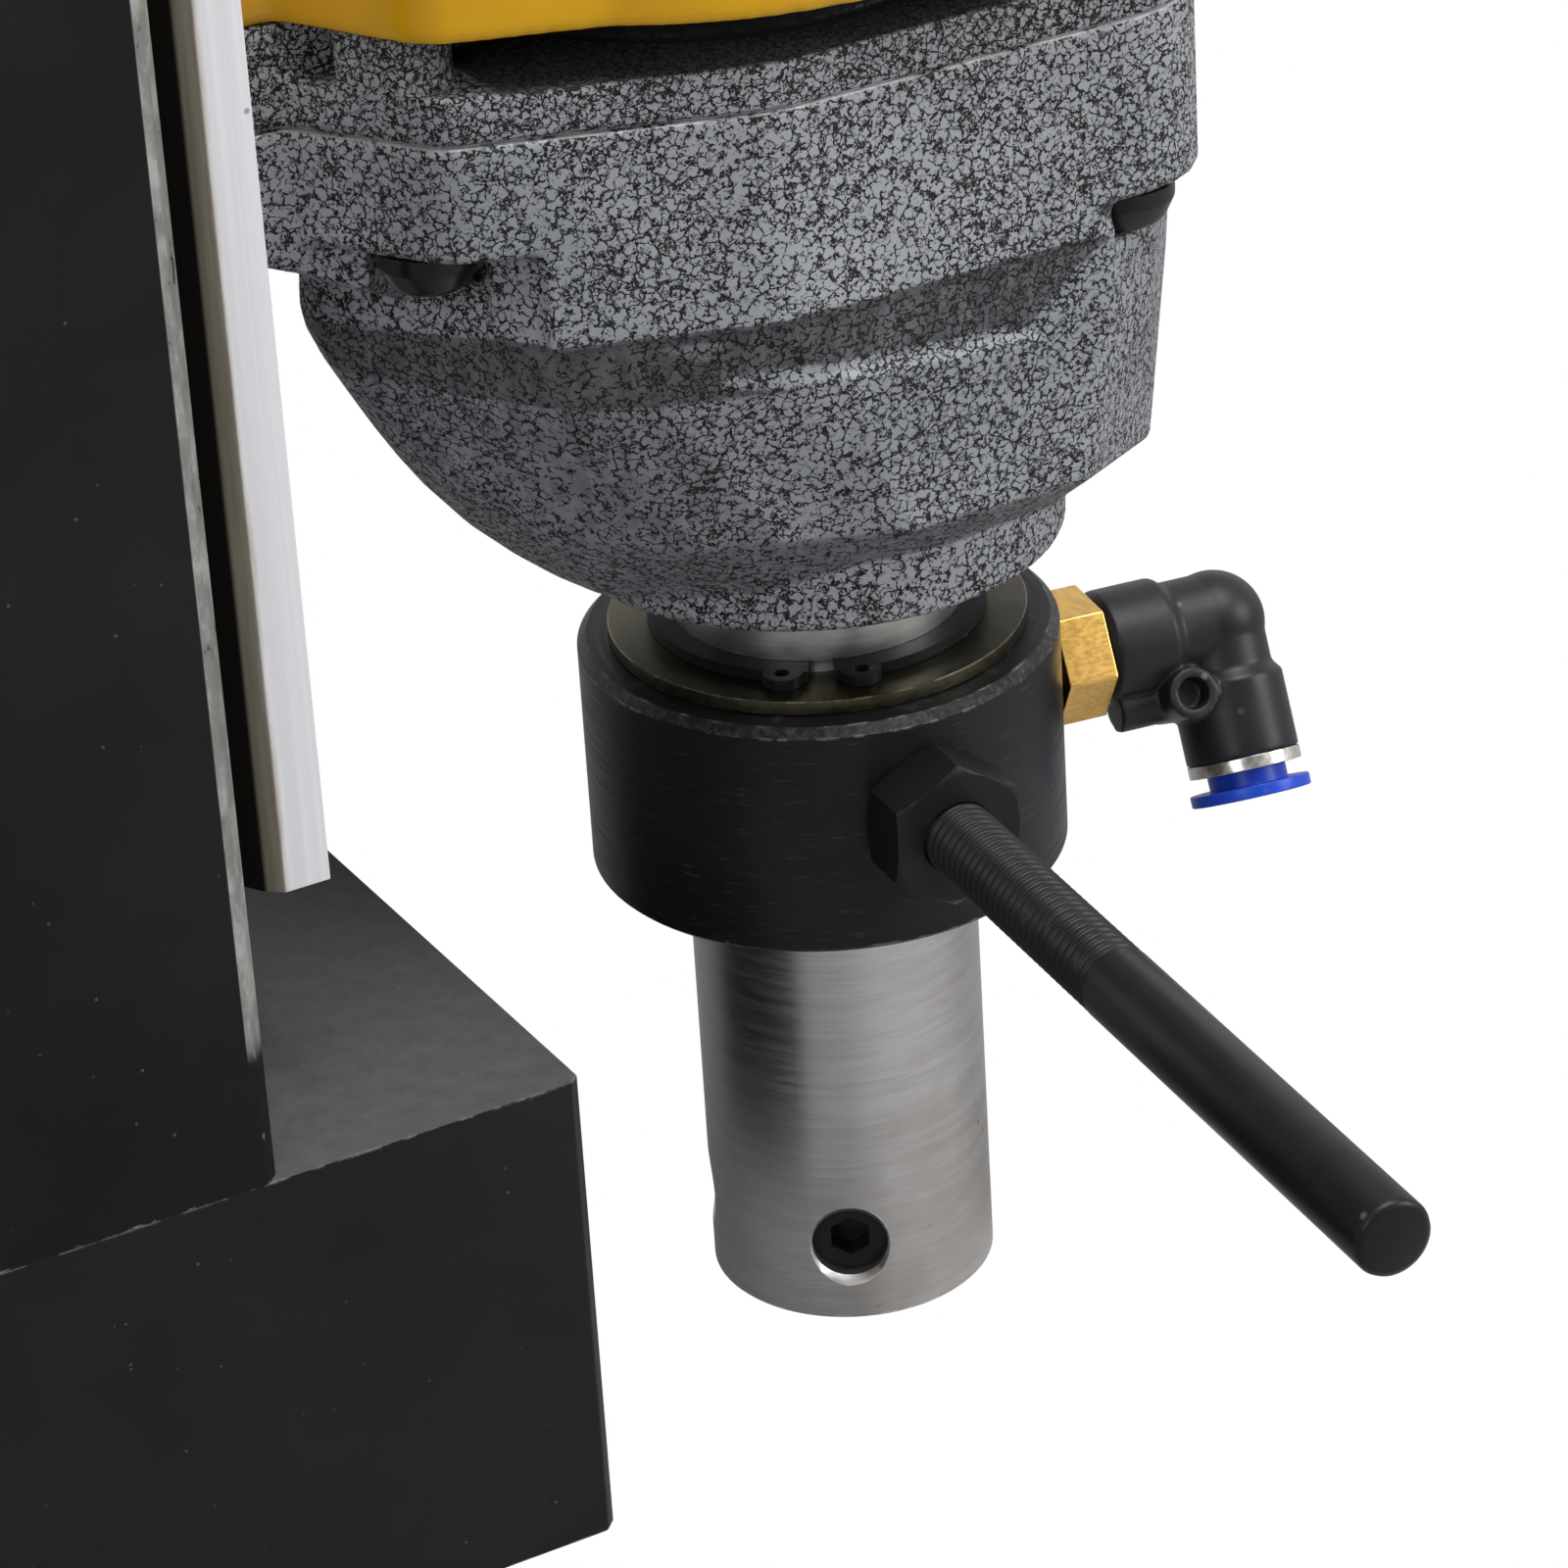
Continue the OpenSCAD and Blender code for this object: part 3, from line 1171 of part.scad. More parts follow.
module commutator() {
  bars = 16;
  color("#b8743a") at_motor() translate([0, 0, commutator_z]) difference() {
    cylinder(r = commutator_r, h = commutator_h);
    translate([0, 0, -1]) cylinder(r = motor_bearing[0] + seat_gap, h = commutator_h + 2);
    for (k = [0:bars - 1]) rotate([0, 0, (k + 0.5) * 360 / bars])
      translate([commutator_r - 0.9, -0.25, -1]) cube([2, 0.5, commutator_h + 2]);
  }
}

module cooling_fan() {
  blades = 14;
  fan_r = motor_inner_r - 4;
  color("#3b3d40") at_motor() translate([0, 0, fan_z]) difference() {
    union() {
      cylinder(r = fan_r, h = 1.6);
      cylinder(r = 11, h = 11);
      for (k = [0:blades - 1]) rotate([0, 0, k * 360 / blades])
        translate([13, 0, 0]) rotate([0, 0, 18]) cube([fan_r - 15, 1.4, 9.5]);
    }
    translate([0, 0, -1]) cylinder(r = motor_bearing[0] + seat_gap, h = 14);
  }
}

// Countershaft between the motor's pinion and the arbor's gear

module countershaft() {
  low_end = counter_z0 + counter_bearing[2] + 0.6;
  high_start = spindle_gear_z + spindle_gear_h + 0.7;
  color("#9b9ea2") translate([counter_x, 0, 0]) {
    translate([0, 0, counter_z0 + seat_gap])
      cylinder(r = counter_bearing[0], h = gear1_z + gear1_h - counter_z0);
    translate([0, 0, low_end]) cylinder(r = 6, h = spindle_gear_z - 0.3 - low_end);
    translate([0, 0, spindle_gear_z - 0.3]) linear_extrude(spindle_gear_h + 1)
      polygon(gear_points(gear_m2, pinion_z2));
    translate([0, 0, high_start]) cylinder(r = 6, h = plate_z0 + 2.6 - high_start);
  }
}

module countershaft_gear() {
  color("#7c7f83") translate([counter_x, 0, gear1_z]) difference() {
    linear_extrude(gear1_h) polygon(gear_points(gear_m1, gear_z1));
    translate([0, 0, -1]) cylinder(r = counter_bearing[0] + seat_gap, h = gear1_h + 2);
    for (a = [30:60:330]) rotate([0, 0, a]) translate([8.5, 0, -1]) cylinder(r = 2, h = gear1_h + 2);
  }
}

// Arbor, its gear and what is fastened to it

module at_grub(angle) {
  translate([0, 0, grub_z]) rotate([0, 0, angle]) rotate([0, 90, 0]) children();
}

module arbor() {
  top = top_bearing_z + top_bearing[2];
  color("#a3a6aa") at_arbor() difference() {
    union() {
      translate([0, 0, arbor_z0]) cylinder(r1 = arbor_r - 0.5, r2 = arbor_r, h = 0.5);
      translate([0, 0, arbor_z0 + 0.5]) cylinder(r = arbor_r, h = low_bearing_z - arbor_z0 - 0.55);
      translate([0, 0, low_bearing_z - 0.1]) cylinder(r = bearing_seat_r, h = low_bearing[2] + 0.2);
      translate([0, 0, lip_z]) cylinder(r = gear_seat_r, h = spindle_gear_z + spindle_gear_h + 1 - lip_z);
      translate([0, 0, spindle_gear_z + spindle_gear_h])
        cylinder(r = top_bearing[0], h = top - spindle_gear_z - spindle_gear_h);
    }
    translate([0, 0, arbor_z0 - 1]) cylinder(r = socket_r, h = socket_depth + 1);
    translate([0, 0, arbor_z0]) cylinder(r = pilot_r, h = low_bearing_z - arbor_z0 + 12);
    for (a = grub_angles) at_grub(a) {
      translate([0, 0, socket_r - 2]) cylinder(r = grub_r + seat_gap, h = arbor_r);
      translate([0, 0, arbor_r - 1.1]) cylinder(r1 = grub_r, r2 = grub_r + 1.6, h = 1.6);
    }
    // Coolant holes and the grooves of the two retaining rings
    for (a = [0, 90]) translate([0, 0, port_z]) rotate([90, 0, a])
      cylinder(r = 2, h = 2 * arbor_r + 4, center = true);
    for (z = [low_clip_z, top_clip_z]) translate([0, 0, z - seat_gap])
      tube(groove_r, arbor_r + 1, clip_t + 2 * seat_gap);
  }
}

module spindle_gear() {
  color("#74777b") at_arbor() translate([0, 0, spindle_gear_z]) difference() {
    rotate([0, 0, spindle_turn]) linear_extrude(spindle_gear_h) polygon(gear_points(gear_m2, gear_z2));
    translate([0, 0, -1]) cylinder(r = gear_seat_r + seat_gap, h = spindle_gear_h + 2);
  }
}

module arbor_set_screws() {
  color("#1d1e20") at_arbor() for (a = grub_angles) at_grub(a)
    translate([0, 0, socket_r + 0.3]) difference() {
      cylinder(r = grub_r, h = grub_l);
      translate([0, 0, grub_l - 3.5]) hexagon(grub_r, 4);
    }
}

// An open spring ring with two eyes, as it lies in its groove
module clip(ears) {
  gap = 9;
  difference() {
    union() {
      tube(groove_r + seat_gap, ring_clip_r, clip_t);
      if (ears) for (s = [-1, 1]) rotate([0, 0, s * 13]) translate([ring_clip_r, 0, 0])
        cylinder(r = 2.6, h = clip_t);
    }
    rotate([0, 0, -gap / 2]) translate([0, 0, -1]) rotate_extrude(angle = gap) square([ring_clip_r + 4, clip_t + 2]);
    if (ears) for (s = [-1, 1]) rotate([0, 0, s * 13]) translate([ring_clip_r + 0.4, 0, -1])
      cylinder(r = 1, h = clip_t + 2);
  }
}

module retaining_rings() {
  color("#222326") at_arbor() {
    translate([0, 0, low_clip_z]) clip(false);
    translate([0, 0, top_clip_z]) rotate([0, 0, -118]) clip(true);
  }
}

module thrust_washer() {
  color("#8a7a4a") at_arbor() translate([0, 0, washer_z]) tube(arbor_r + 0.1, washer_r, washer_t);
}

// Coolant ring and what turns with it

module ring_bore_at(angle) {
  translate([0, 0, port_z]) rotate([0, 0, angle]) rotate([0, 90, 0]) children();
}

module coolant_ring() {
  color("#1f2022") at_arbor() difference() {
    translate([0, 0, ring_z0]) rotate_extrude()
      polygon([[ring_bore, 0], [ring_r - 0.6, 0], [ring_r, 0.6], [ring_r, ring_h - ring_chamfer],
        [ring_r - ring_chamfer, ring_h], [ring_bore, ring_h]]);
    translate([0, 0, ring_z0 - 1])
      cylinder(r = ring_clip_r + 1, h = low_clip_z + clip_t + 0.1 - ring_z0 + 1);
    translate([0, 0, port_z - gallery_h / 2]) tube(ring_bore - 1, gallery_r, gallery_h);
    for (z = seal_zs) translate([0, 0, z - seal_r - 0.1])
      tube(ring_bore - 1, ring_bore + 2 * seal_r + 0.2, 2 * seal_r + 0.2);
    ring_bore_at(rod_angle) translate([0, 0, rod_root]) cylinder(r = rod_r + seat_gap, h = 20);
    ring_bore_at(fitting_angle) {
      translate([0, 0, rod_root]) cylinder(r = 4.8, h = 20);
      translate([0, 0, arbor_r]) cylinder(r = 2, h = 10);
    }
  }
}

module ring_seals() {
  color("#101112") at_arbor() for (z = seal_zs) translate([0, 0, z]) rotate_extrude()
    translate([ring_bore + seal_r + 0.1, 0]) circle(seal_r, $fn = 24);
}

module stop_rod() {
  color("#1b1c1d") at_arbor() ring_bore_at(rod_angle) {
    translate([0, 0, rod_root + 0.1]) cylinder(r = rod_r, h = rod_reach - rod_root - 1.1);
    translate([0, 0, rod_reach - 1]) cylinder(r1 = rod_r, r2 = rod_r - 1, h = 1);
  }
}

module rod_nut() {
  color("#1b1c1d") at_arbor() ring_bore_at(rod_angle) translate([0, 0, nut_seat]) difference() {
    intersection() {
      rotate([0, 0, 90 + 27]) hexagon(nut_flats, nut_h);
      rotate_extrude() polygon([[0, 0], [nut_flats / 2, 0], [nut_flats / 2 + 1.4, 0.8],
        [nut_flats / 2 + 1.4, nut_h - 0.8],
        [nut_flats / 2, nut_h], [0, nut_h]]);
    }
    translate([0, 0, -1]) cylinder(r = rod_r + seat_gap, h = nut_h + 2);
  }
}

// The tube fitting lies along +X here, with its outlet pointing down before the tilt
module at_fitting(tilt) {
  at_arbor() translate([0, 0, port_z]) rotate([0, 0, fitting_angle]) rotate([-tilt, 0, 0]) children();
}

module fitting_stem() {
  color("#c9983c") at_fitting(0) rotate([0, 90, 0]) difference() {
    union() {
      translate([0, 0, rod_root + 0.5]) cylinder(r = 4.75, h = stem_x0 - rod_root);
      translate([0, 0, stem_x0]) rotate([0, 0, 30]) hexagon(stem_flats, barrel_x0 - stem_x0 - 0.3);
      translate([0, 0, barrel_x0 - 1]) cylinder(r = 5, h = 9);
    }
    translate([0, 0, rod_root]) cylinder(r = 2.5, h = 40);
  }
}

module elbow_bores() {
  rotate([0, 90, 0]) {
    translate([0, 0, barrel_x0 - 1]) cylinder(r = 5 + run_gap, h = 9.5);
    translate([0, 0, barrel_x0]) cylinder(r = 2.5, h = elbow_x - barrel_x0 + 2);
  }
  translate([elbow_x, 0, -socket_top - 1]) cylinder(r = 3.1, h = socket_top + 3);
  translate([elbow_x, 0, -outlet_len]) cylinder(r = neck_r + 0.35, h = outlet_len - socket_top - 3);
  translate([elbow_x, 0, -outlet_len]) cylinder(r = tube_r + 0.05, h = outlet_len - socket_top);
}

module fitting_elbow() {
  lug = [48.5, 0, -8.5];
  color("#1c1d1f") at_fitting(outlet_tilt) difference() {
    union() {
      translate([barrel_x0, 0, 0]) rotate([0, 90, 0]) rotate_extrude()
        polygon([[0, 0], [barrel_r - 1, 0], [barrel_r, 1], [barrel_r, barrel_x1 - barrel_x0 - 1],
          [elbow_r, barrel_x1 - barrel_x0 + 0.3], [elbow_r, elbow_x - barrel_x0], [0, elbow_x - barrel_x0]]);
      translate([elbow_x, 0, 0]) sphere(elbow_r + 0.25);
      translate([elbow_x, 0, -8]) cylinder(r = elbow_r - 0.15, h = 8);
      translate([elbow_x, 0, -outlet_len + ferrule_h + seat_gap]) rotate_extrude()
        polygon([[0, 0], [outlet_r, 0], [outlet_r, outlet_len - ferrule_h - 8], [elbow_r - 0.3, outlet_len - ferrule_h - 6.4],
          [0, outlet_len - ferrule_h - 6.4]]);
      translate([lug[0], 7, lug[2]]) rotate([90, 0, 0]) cylinder(r = 3.5, h = 14);
      translate([39.6, 0, lug[2]]) rotate([0, 90, 0]) cylinder(r = 3.1, h = 9);
    }
    elbow_bores();
    for (s = [-1, 1]) translate([lug[0], s * 7, lug[2]]) rotate([90, 0, 0]) cylinder(r = 2.1, h = 6, center = true);
  }
}

module fitting_ferrule() {
  color("#c8c6bd") at_fitting(outlet_tilt) translate([elbow_x, 0, -outlet_len]) tube(neck_r + 0.3, outlet_r, ferrule_h);
}

// Collar that frees the tube when it is pushed in
module release_collar() {
  flange_t = 1.6;
  stand = collar_travel + 1;
  color("#1f4fd0") at_fitting(outlet_tilt) translate([elbow_x, 0, -outlet_len]) difference() {
    union() {
      translate([0, 0, -stand - flange_t]) cylinder(r = outlet_r + 0.5, h = flange_t);
      translate([0, 0, -stand - tiny]) cylinder(r = neck_r, h = stand + outlet_len - socket_top - 3 - collar_travel - 0.5);
    }
    translate([0, 0, -stand - flange_t - 1]) cylinder(r = tube_r + 0.05, h = outlet_len);
  }
}

magnet_body();
magnet_coils();
coil_potting();
column();
column_bolts();
gib_strip();
gib_screws();
feed_bushings();
rear_cover();
cover_screws();
control_board();
button_bezels();
power_gland();
carry_handle();
power_rocker();
start_button();
stop_button();
feed_shaft();
shaft_retainer();
handle_hub();
handle_spokes();
handle_knobs();
slide_bar();
feed_rack();
slide_screws();
gear_case();
gear_case_lid();
case_screws();
bearing_plate();
ball_bearings();
oil_seal();
motor_housing();
end_cap();
end_cap_screws();
stator_core();
field_coils();
brush_holders();
carbon_brushes();
lead_grommet();
armature_shaft();
armature_core();
armature_windings();
commutator();
cooling_fan();
countershaft();
countershaft_gear();
arbor();
spindle_gear();
arbor_set_screws();
retaining_rings();
thrust_washer();
coolant_ring();
ring_seals();
stop_rod();
rod_nut();
fitting_stem();
fitting_elbow();
fitting_ferrule();
release_collar();
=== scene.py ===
# %% [markdown]
# A magnetic drill stands on a flat plate. A CAD model of it, made elsewhere, holds every solid
# at its true size and place. This lesson dresses that model: it sets the camera and the lamps,
# gives each surface its finish, and models the pieces that need more detail than the solids have.

# %% Load the solids as a fixed frame
import json
import math

import bpy
from mathutils import Matrix, Vector


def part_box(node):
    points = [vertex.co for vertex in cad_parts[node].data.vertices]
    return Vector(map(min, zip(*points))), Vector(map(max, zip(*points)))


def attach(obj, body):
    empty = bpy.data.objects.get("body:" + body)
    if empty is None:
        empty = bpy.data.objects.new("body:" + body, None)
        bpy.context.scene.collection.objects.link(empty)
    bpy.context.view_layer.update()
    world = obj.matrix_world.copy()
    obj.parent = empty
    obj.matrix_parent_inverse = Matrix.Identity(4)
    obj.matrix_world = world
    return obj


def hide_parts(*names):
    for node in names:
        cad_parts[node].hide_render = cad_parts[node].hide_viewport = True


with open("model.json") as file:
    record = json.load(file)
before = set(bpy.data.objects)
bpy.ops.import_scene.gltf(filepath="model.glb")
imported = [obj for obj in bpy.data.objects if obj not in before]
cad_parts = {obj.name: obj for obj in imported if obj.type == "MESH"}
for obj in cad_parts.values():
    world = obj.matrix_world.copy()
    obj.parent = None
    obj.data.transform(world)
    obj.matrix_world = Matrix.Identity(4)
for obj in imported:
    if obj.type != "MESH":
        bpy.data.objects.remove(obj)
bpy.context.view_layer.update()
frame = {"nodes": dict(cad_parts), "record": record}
MM = 0.001
body_of = {node: body for body, nodes in frame["record"]["behaviour"]["bodies"].items() for node in nodes}
slot_of = {part["node"]: part["material_slot"] for part in frame["record"]["subparts"]}

# %% [markdown]
# The camera stands where the photographer's did: behind the column's front on the left, above,
# looking down at the arbor through a long lens. Its place and angles were solved from straight
# edges and circles of the drill, so the render can be laid over the picture. A camera looks along
# its own -Z, so its three axes are written down and put into one matrix.

# %% Camera
IMAGE_WIDTH = 1600
FOCAL_PIXELS = 6272.3
cam_azimuth = math.radians(27.905)
cam_drop = math.radians(27.978)
cam_roll = math.radians(-3.559)
cam_place = Vector((-200.3, -626.7, 450.84)) * MM

look = Vector((math.sin(cam_azimuth) * math.cos(cam_drop), math.cos(cam_azimuth) * math.cos(cam_drop),
               -math.sin(cam_drop)))
level = Vector((math.cos(cam_azimuth), -math.sin(cam_azimuth), 0))
upright = level.cross(look)
right = level * math.cos(cam_roll) + upright * math.sin(cam_roll)
up = upright * math.cos(cam_roll) - level * math.sin(cam_roll)

camera = bpy.data.objects.new("camera", bpy.data.cameras.new("camera"))
bpy.context.scene.collection.objects.link(camera)
camera.data.sensor_width = 36
camera.data.lens = FOCAL_PIXELS * camera.data.sensor_width / IMAGE_WIDTH
camera.data.clip_start, camera.data.clip_end = 0.05, 20
camera.matrix_world = Matrix.Translation(cam_place) @ Matrix((right, up, -look)).transposed().to_4x4()
bpy.context.scene.camera = camera
print("lens", round(camera.data.lens, 1), "mm")

# %% [markdown]
# Every finish below is built from shader nodes. A few small helpers keep that short: they add a
# node and fill its sockets, stand for the nodes that are used most, and start a node group with
# named inputs and outputs. An effect that several finishes share, such as worn edges, is made
# once as such a group.

# %% Helpers for shader nodes
def fill(socket, tree, value):
    """Links another node's output to a socket, or sets a plain value on it."""
    if isinstance(value, bpy.types.NodeSocket):
        tree.links.new(value, socket)
    else:
        socket.default_value = value


def add(tree, kind, settings=None, **sockets):
    """Adds a node. Sockets go by name, with _ for a space, or by place as i0, i1 and so on."""
    made = tree.nodes.new("ShaderNode" + kind)
    for name, value in (settings or {}).items():
        setattr(made, name, value)
    for name, value in sockets.items():
        by_place = name[0] == "i" and name[1:].isdigit()
        fill(made.inputs[int(name[1:])] if by_place else made.inputs[name.replace("_", " ")], tree, value)
    return made


def calc(tree, operation, *values):
    """A Math node's output."""
    sockets = {f"i{k}": value for k, value in enumerate(values)}
    return add(tree, "Math", {"operation": operation}, **sockets).outputs[0]


def spread(tree, value, low, high, to_low=0.0, to_high=1.0):
    """Maps a value smoothly from one range to another."""
    made = add(tree, "MapRange", {"interpolation_type": "SMOOTHSTEP"}, Value=value,
               From_Min=low, From_Max=high, To_Min=to_low, To_Max=to_high)
    return made.outputs["Result"]


def blend_colors(tree, factor, first, second):
    """A Mix node for two colours."""
    return add(tree, "Mix", {"data_type": "RGBA"}, i0=factor, i6=first, i7=second).outputs[2]


def stretched_noise(tree, scales, detail=3.0, rough=0.55):
    """Noise on Object coordinates with its own scale along each axis."""
    place = add(tree, "TexCoord").outputs["Object"]
    scaled = add(tree, "Mapping", Vector=place, Scale=scales).outputs[0]
    return add(tree, "TexNoise", Vector=scaled, Scale=1.0, Detail=detail, Roughness=rough).outputs["Fac"]


def start_group(name, inputs, outputs):
    """A node group with named sockets, and its input and output nodes."""
    group = bpy.data.node_groups.new(name, "ShaderNodeTree")
    for label, value in inputs.items():
        made = group.interface.new_socket(name=label, in_out="INPUT", socket_type="NodeSocketFloat")
        made.default_value = value
    for label in outputs:
        group.interface.new_socket(name=label, in_out="OUTPUT", socket_type="NodeSocketFloat")
    return group, group.nodes.new("NodeGroupInput"), group.nodes.new("NodeGroupOutput")


def use_group(tree, group, **sockets):
    """Places a group in a material with its own values."""
    return add(tree, "Group", {"node_tree": group}, **sockets)


# %% [markdown]
# A product photo is lit by large soft lamps: a big one above and a smaller one on either side.
# Each is an area lamp turned toward the drill, and its size sets how soft its shadow is.

# %% Lamps
def soft_lamp(name, place, aim, size, watts):
    """A square area lamp that points from its place to its aim."""
    lamp = bpy.data.objects.new(name, bpy.data.lights.new(name, "AREA"))
    bpy.context.scene.collection.objects.link(lamp)
    lamp.data.size, lamp.data.energy = size, watts
    lamp.location = place
    lamp.rotation_euler = (Vector(aim) - Vector(place)).to_track_quat("-Z", "Y").to_euler()


target = (0.08, 0, 0.15)
soft_lamp("lamp_above", (0.35, -0.35, 1.5), target, 0.9, 28)
soft_lamp("lamp_left", (-1.2, -1.1, 0.9), target, 0.7, 8)
soft_lamp("lamp_right", (1.2, -0.9, 0.7), target, 0.6, 13)
bpy.context.scene.view_settings.view_transform = "Standard"
print("lamps ready")

# %% [markdown]
# The world is white only where the camera or a mirror sees it, so that it doesn't light the
# undersides: on the real picture those are dark, and that is what shows the casting's form.
# A studio is a dark room on the photographer's side, and bare steel shows it as dark bands, so
# mirrors see the world grey there.

# %% World
DARK_SIDE = (-0.62, -0.75, -0.1)
world = bpy.data.worlds.new("studio")
bpy.context.scene.world = world
world.use_nodes = True
tree = world.node_tree
room = tree.nodes["Background"]
room.inputs["Color"].default_value = (0.9, 0.95, 1, 1)
room.inputs["Strength"].default_value = 0.16
white = add(tree, "Background", Color=(1, 1, 1, 1), Strength=1.0)
path = add(tree, "LightPath")
way = add(tree, "TexCoord").outputs["Generated"]
behind = add(tree, "VectorMath", {"operation": "DOT_PRODUCT"}, i0=way, i1=DARK_SIDE)
lit_side = spread(tree, behind.outputs["Value"], 0.75, 0.25, 0.1, 1.0)
mirror = calc(tree, "MULTIPLY", calc(tree, "MAXIMUM", path.outputs["Is Glossy Ray"],
                                     path.outputs["Is Transmission Ray"]), lit_side)
shown = calc(tree, "MAXIMUM", path.outputs["Is Camera Ray"], mirror)
both = add(tree, "MixShader", i0=shown, i1=room.outputs[0], i2=white.outputs[0])
tree.links.new(both.outputs[0], tree.nodes["World Output"].inputs["Surface"])
print("world ready")

# %% [markdown]
# The floor is a white sweep in the same way: the camera sees it white, and its own grey is what
# lights the drill. In a mirror it is bright only in one direction from the arbor's foot, which
# gives the arbor its one bright band.

# %% Floor
ARBOR_FOOT = (0.138, 0, 0)
BRIGHT_WAY = (0.424, -0.906, 0)
bpy.ops.mesh.primitive_plane_add(size=6, location=(0, 0, -0.0002))
floor = bpy.context.object
floor.name = "floor"
floor.data.materials.append(bpy.data.materials.new("floor"))
floor.active_material.use_nodes = True
tree = floor.active_material.node_tree
card = tree.nodes["Principled BSDF"]
card.inputs["Base Color"].default_value = (0.3, 0.3, 0.305, 1)
card.inputs["Roughness"].default_value = 0.9
glow = add(tree, "Emission", Color=(1, 1, 1, 1), Strength=1.0)
path = add(tree, "LightPath")
spot = add(tree, "NewGeometry").outputs["Position"]
spot = add(tree, "VectorMath", {"operation": "SUBTRACT"}, i0=spot, i1=ARBOR_FOOT).outputs[0]
spot = add(tree, "VectorMath", {"operation": "NORMALIZE"}, i0=spot).outputs[0]
toward = add(tree, "VectorMath", {"operation": "DOT_PRODUCT"}, i0=spot, i1=BRIGHT_WAY).outputs["Value"]
patch = spread(tree, toward, 0.55, 1.0, 0.16, 0.8)
seen = calc(tree, "MAXIMUM", path.outputs["Is Camera Ray"],
            calc(tree, "MULTIPLY", path.outputs["Is Glossy Ray"], patch))
both = add(tree, "MixShader", i0=seen, i1=card.outputs[0], i2=glow.outputs[0])
tree.links.new(both.outputs[0], tree.nodes["Material Output"].inputs["Surface"])
print("stage ready")

# %% [markdown]
# Paint and oxide wear through first where a corner is sharp. The Bevel node gives the normal that
# a rounded edge would have, and where it differs from the true normal, there is an edge. Noise
# breaks the mask up, so that the wear comes and goes along the edge as on the real casting.

# %% Group: worn edges
worn_edges, inside, outside = start_group(
    "worn_edges", {"Radius": 0.0005, "Break": 260.0, "Amount": 0.5}, ["Mask"])
rounded = add(worn_edges, "Bevel", {"samples": 4}, Radius=inside.outputs["Radius"])
flat_normal = add(worn_edges, "NewGeometry").outputs["Normal"]
alike = add(worn_edges, "VectorMath", {"operation": "DOT_PRODUCT"}, i0=rounded.outputs[0], i1=flat_normal)
edge = spread(worn_edges, alike.outputs["Value"], 0.995, 0.90)
place = add(worn_edges, "TexCoord").outputs["Object"]
patches = add(worn_edges, "TexNoise", Vector=place, Scale=inside.outputs["Break"], Detail=5.0, Roughness=0.65)
low_limit = calc(worn_edges, "SUBTRACT", 0.78, calc(worn_edges, "MULTIPLY", inside.outputs["Amount"], 0.5))
kept = spread(worn_edges, patches.outputs["Fac"], low_limit, calc(worn_edges, "ADD", low_limit, 0.1))
worn_edges.links.new(calc(worn_edges, "MULTIPLY", edge, kept), outside.inputs["Mask"])
print("group", worn_edges.name)

# %% [markdown]
# Sprayed enamel has a slight orange peel and a few dust specks, and its gloss varies a little.
# Moulded plastic and oxide have the same three traits at other scales, so one group gives them.

# %% Group: fine skin
fine_skin, inside, outside = start_group(
    "fine_skin", {"Grain": 260.0, "Specks": 300.0}, ["Height", "Dust", "Cloud"])
place = add(fine_skin, "TexCoord").outputs["Object"]
grain = add(fine_skin, "TexNoise", Vector=place, Scale=inside.outputs["Grain"], Detail=3.0).outputs["Fac"]
cells = add(fine_skin, "TexVoronoi", Vector=place, Scale=inside.outputs["Specks"], Randomness=1.0)
dot = spread(fine_skin, cells.outputs["Distance"], 0.2, 0.06)
pick = add(fine_skin, "SeparateColor", Color=cells.outputs["Color"]).outputs["Red"]
dust = calc(fine_skin, "MULTIPLY", dot, spread(fine_skin, pick, 0.95, 0.98))
fine_skin.links.new(calc(fine_skin, "ADD", grain, dust), outside.inputs["Height"])
fine_skin.links.new(dust, outside.inputs["Dust"])
cloud = add(fine_skin, "TexNoise", Vector=place, Scale=22.0, Detail=4.0, Roughness=0.6).outputs["Fac"]
fine_skin.links.new(cloud, outside.inputs["Cloud"])
print("group", fine_skin.name)

# %% [markdown]
# The gear case has crackle enamel: a silver-grey top coat that tears into small islands over a
# black ground. Cell edges of a Voronoi texture make the tears. Noise bends them, and a second,
# finer layer adds the short branches. More noise closes some tears, so that the islands join.

# %% Group: crackle
crackle, inside, outside = start_group("crackle", {"Scale": 740.0, "Closed": 0.0}, ["Tear", "Tone"])
place = add(crackle, "TexCoord").outputs["Object"]
bend = add(crackle, "TexNoise", Vector=place, Scale=1300.0, Detail=3.0, Roughness=0.6).outputs["Color"]
bend = add(crackle, "VectorMath", {"operation": "SUBTRACT"}, i0=bend, i1=(0.5, 0.5, 0.5)).outputs[0]
bend = add(crackle, "VectorMath", {"operation": "SCALE"}, i0=bend, Scale=0.0015).outputs[0]
bent = add(crackle, "VectorMath", {"operation": "ADD"}, i0=place, i1=bend).outputs[0]
tears = []
for size, width, gate in ((1.0, 0.095, 0.43), (1.7, 0.10, 0.56)):
    scale = calc(crackle, "MULTIPLY", inside.outputs["Scale"], size)
    cells = add(crackle, "TexVoronoi", {"feature": "DISTANCE_TO_EDGE"}, Vector=bent, Scale=scale)
    line = spread(crackle, cells.outputs["Distance"], width, width * 0.5)
    gaps = add(crackle, "TexNoise", Vector=bent, Scale=scale, Detail=2.0).outputs["Fac"]
    limit = calc(crackle, "ADD", gate, inside.outputs["Closed"])
    open_part = spread(crackle, gaps, calc(crackle, "SUBTRACT", limit, 0.05), limit)
    tears.append(calc(crackle, "MULTIPLY", line, open_part))
crackle.links.new(calc(crackle, "MAXIMUM", *tears), outside.inputs["Tear"])
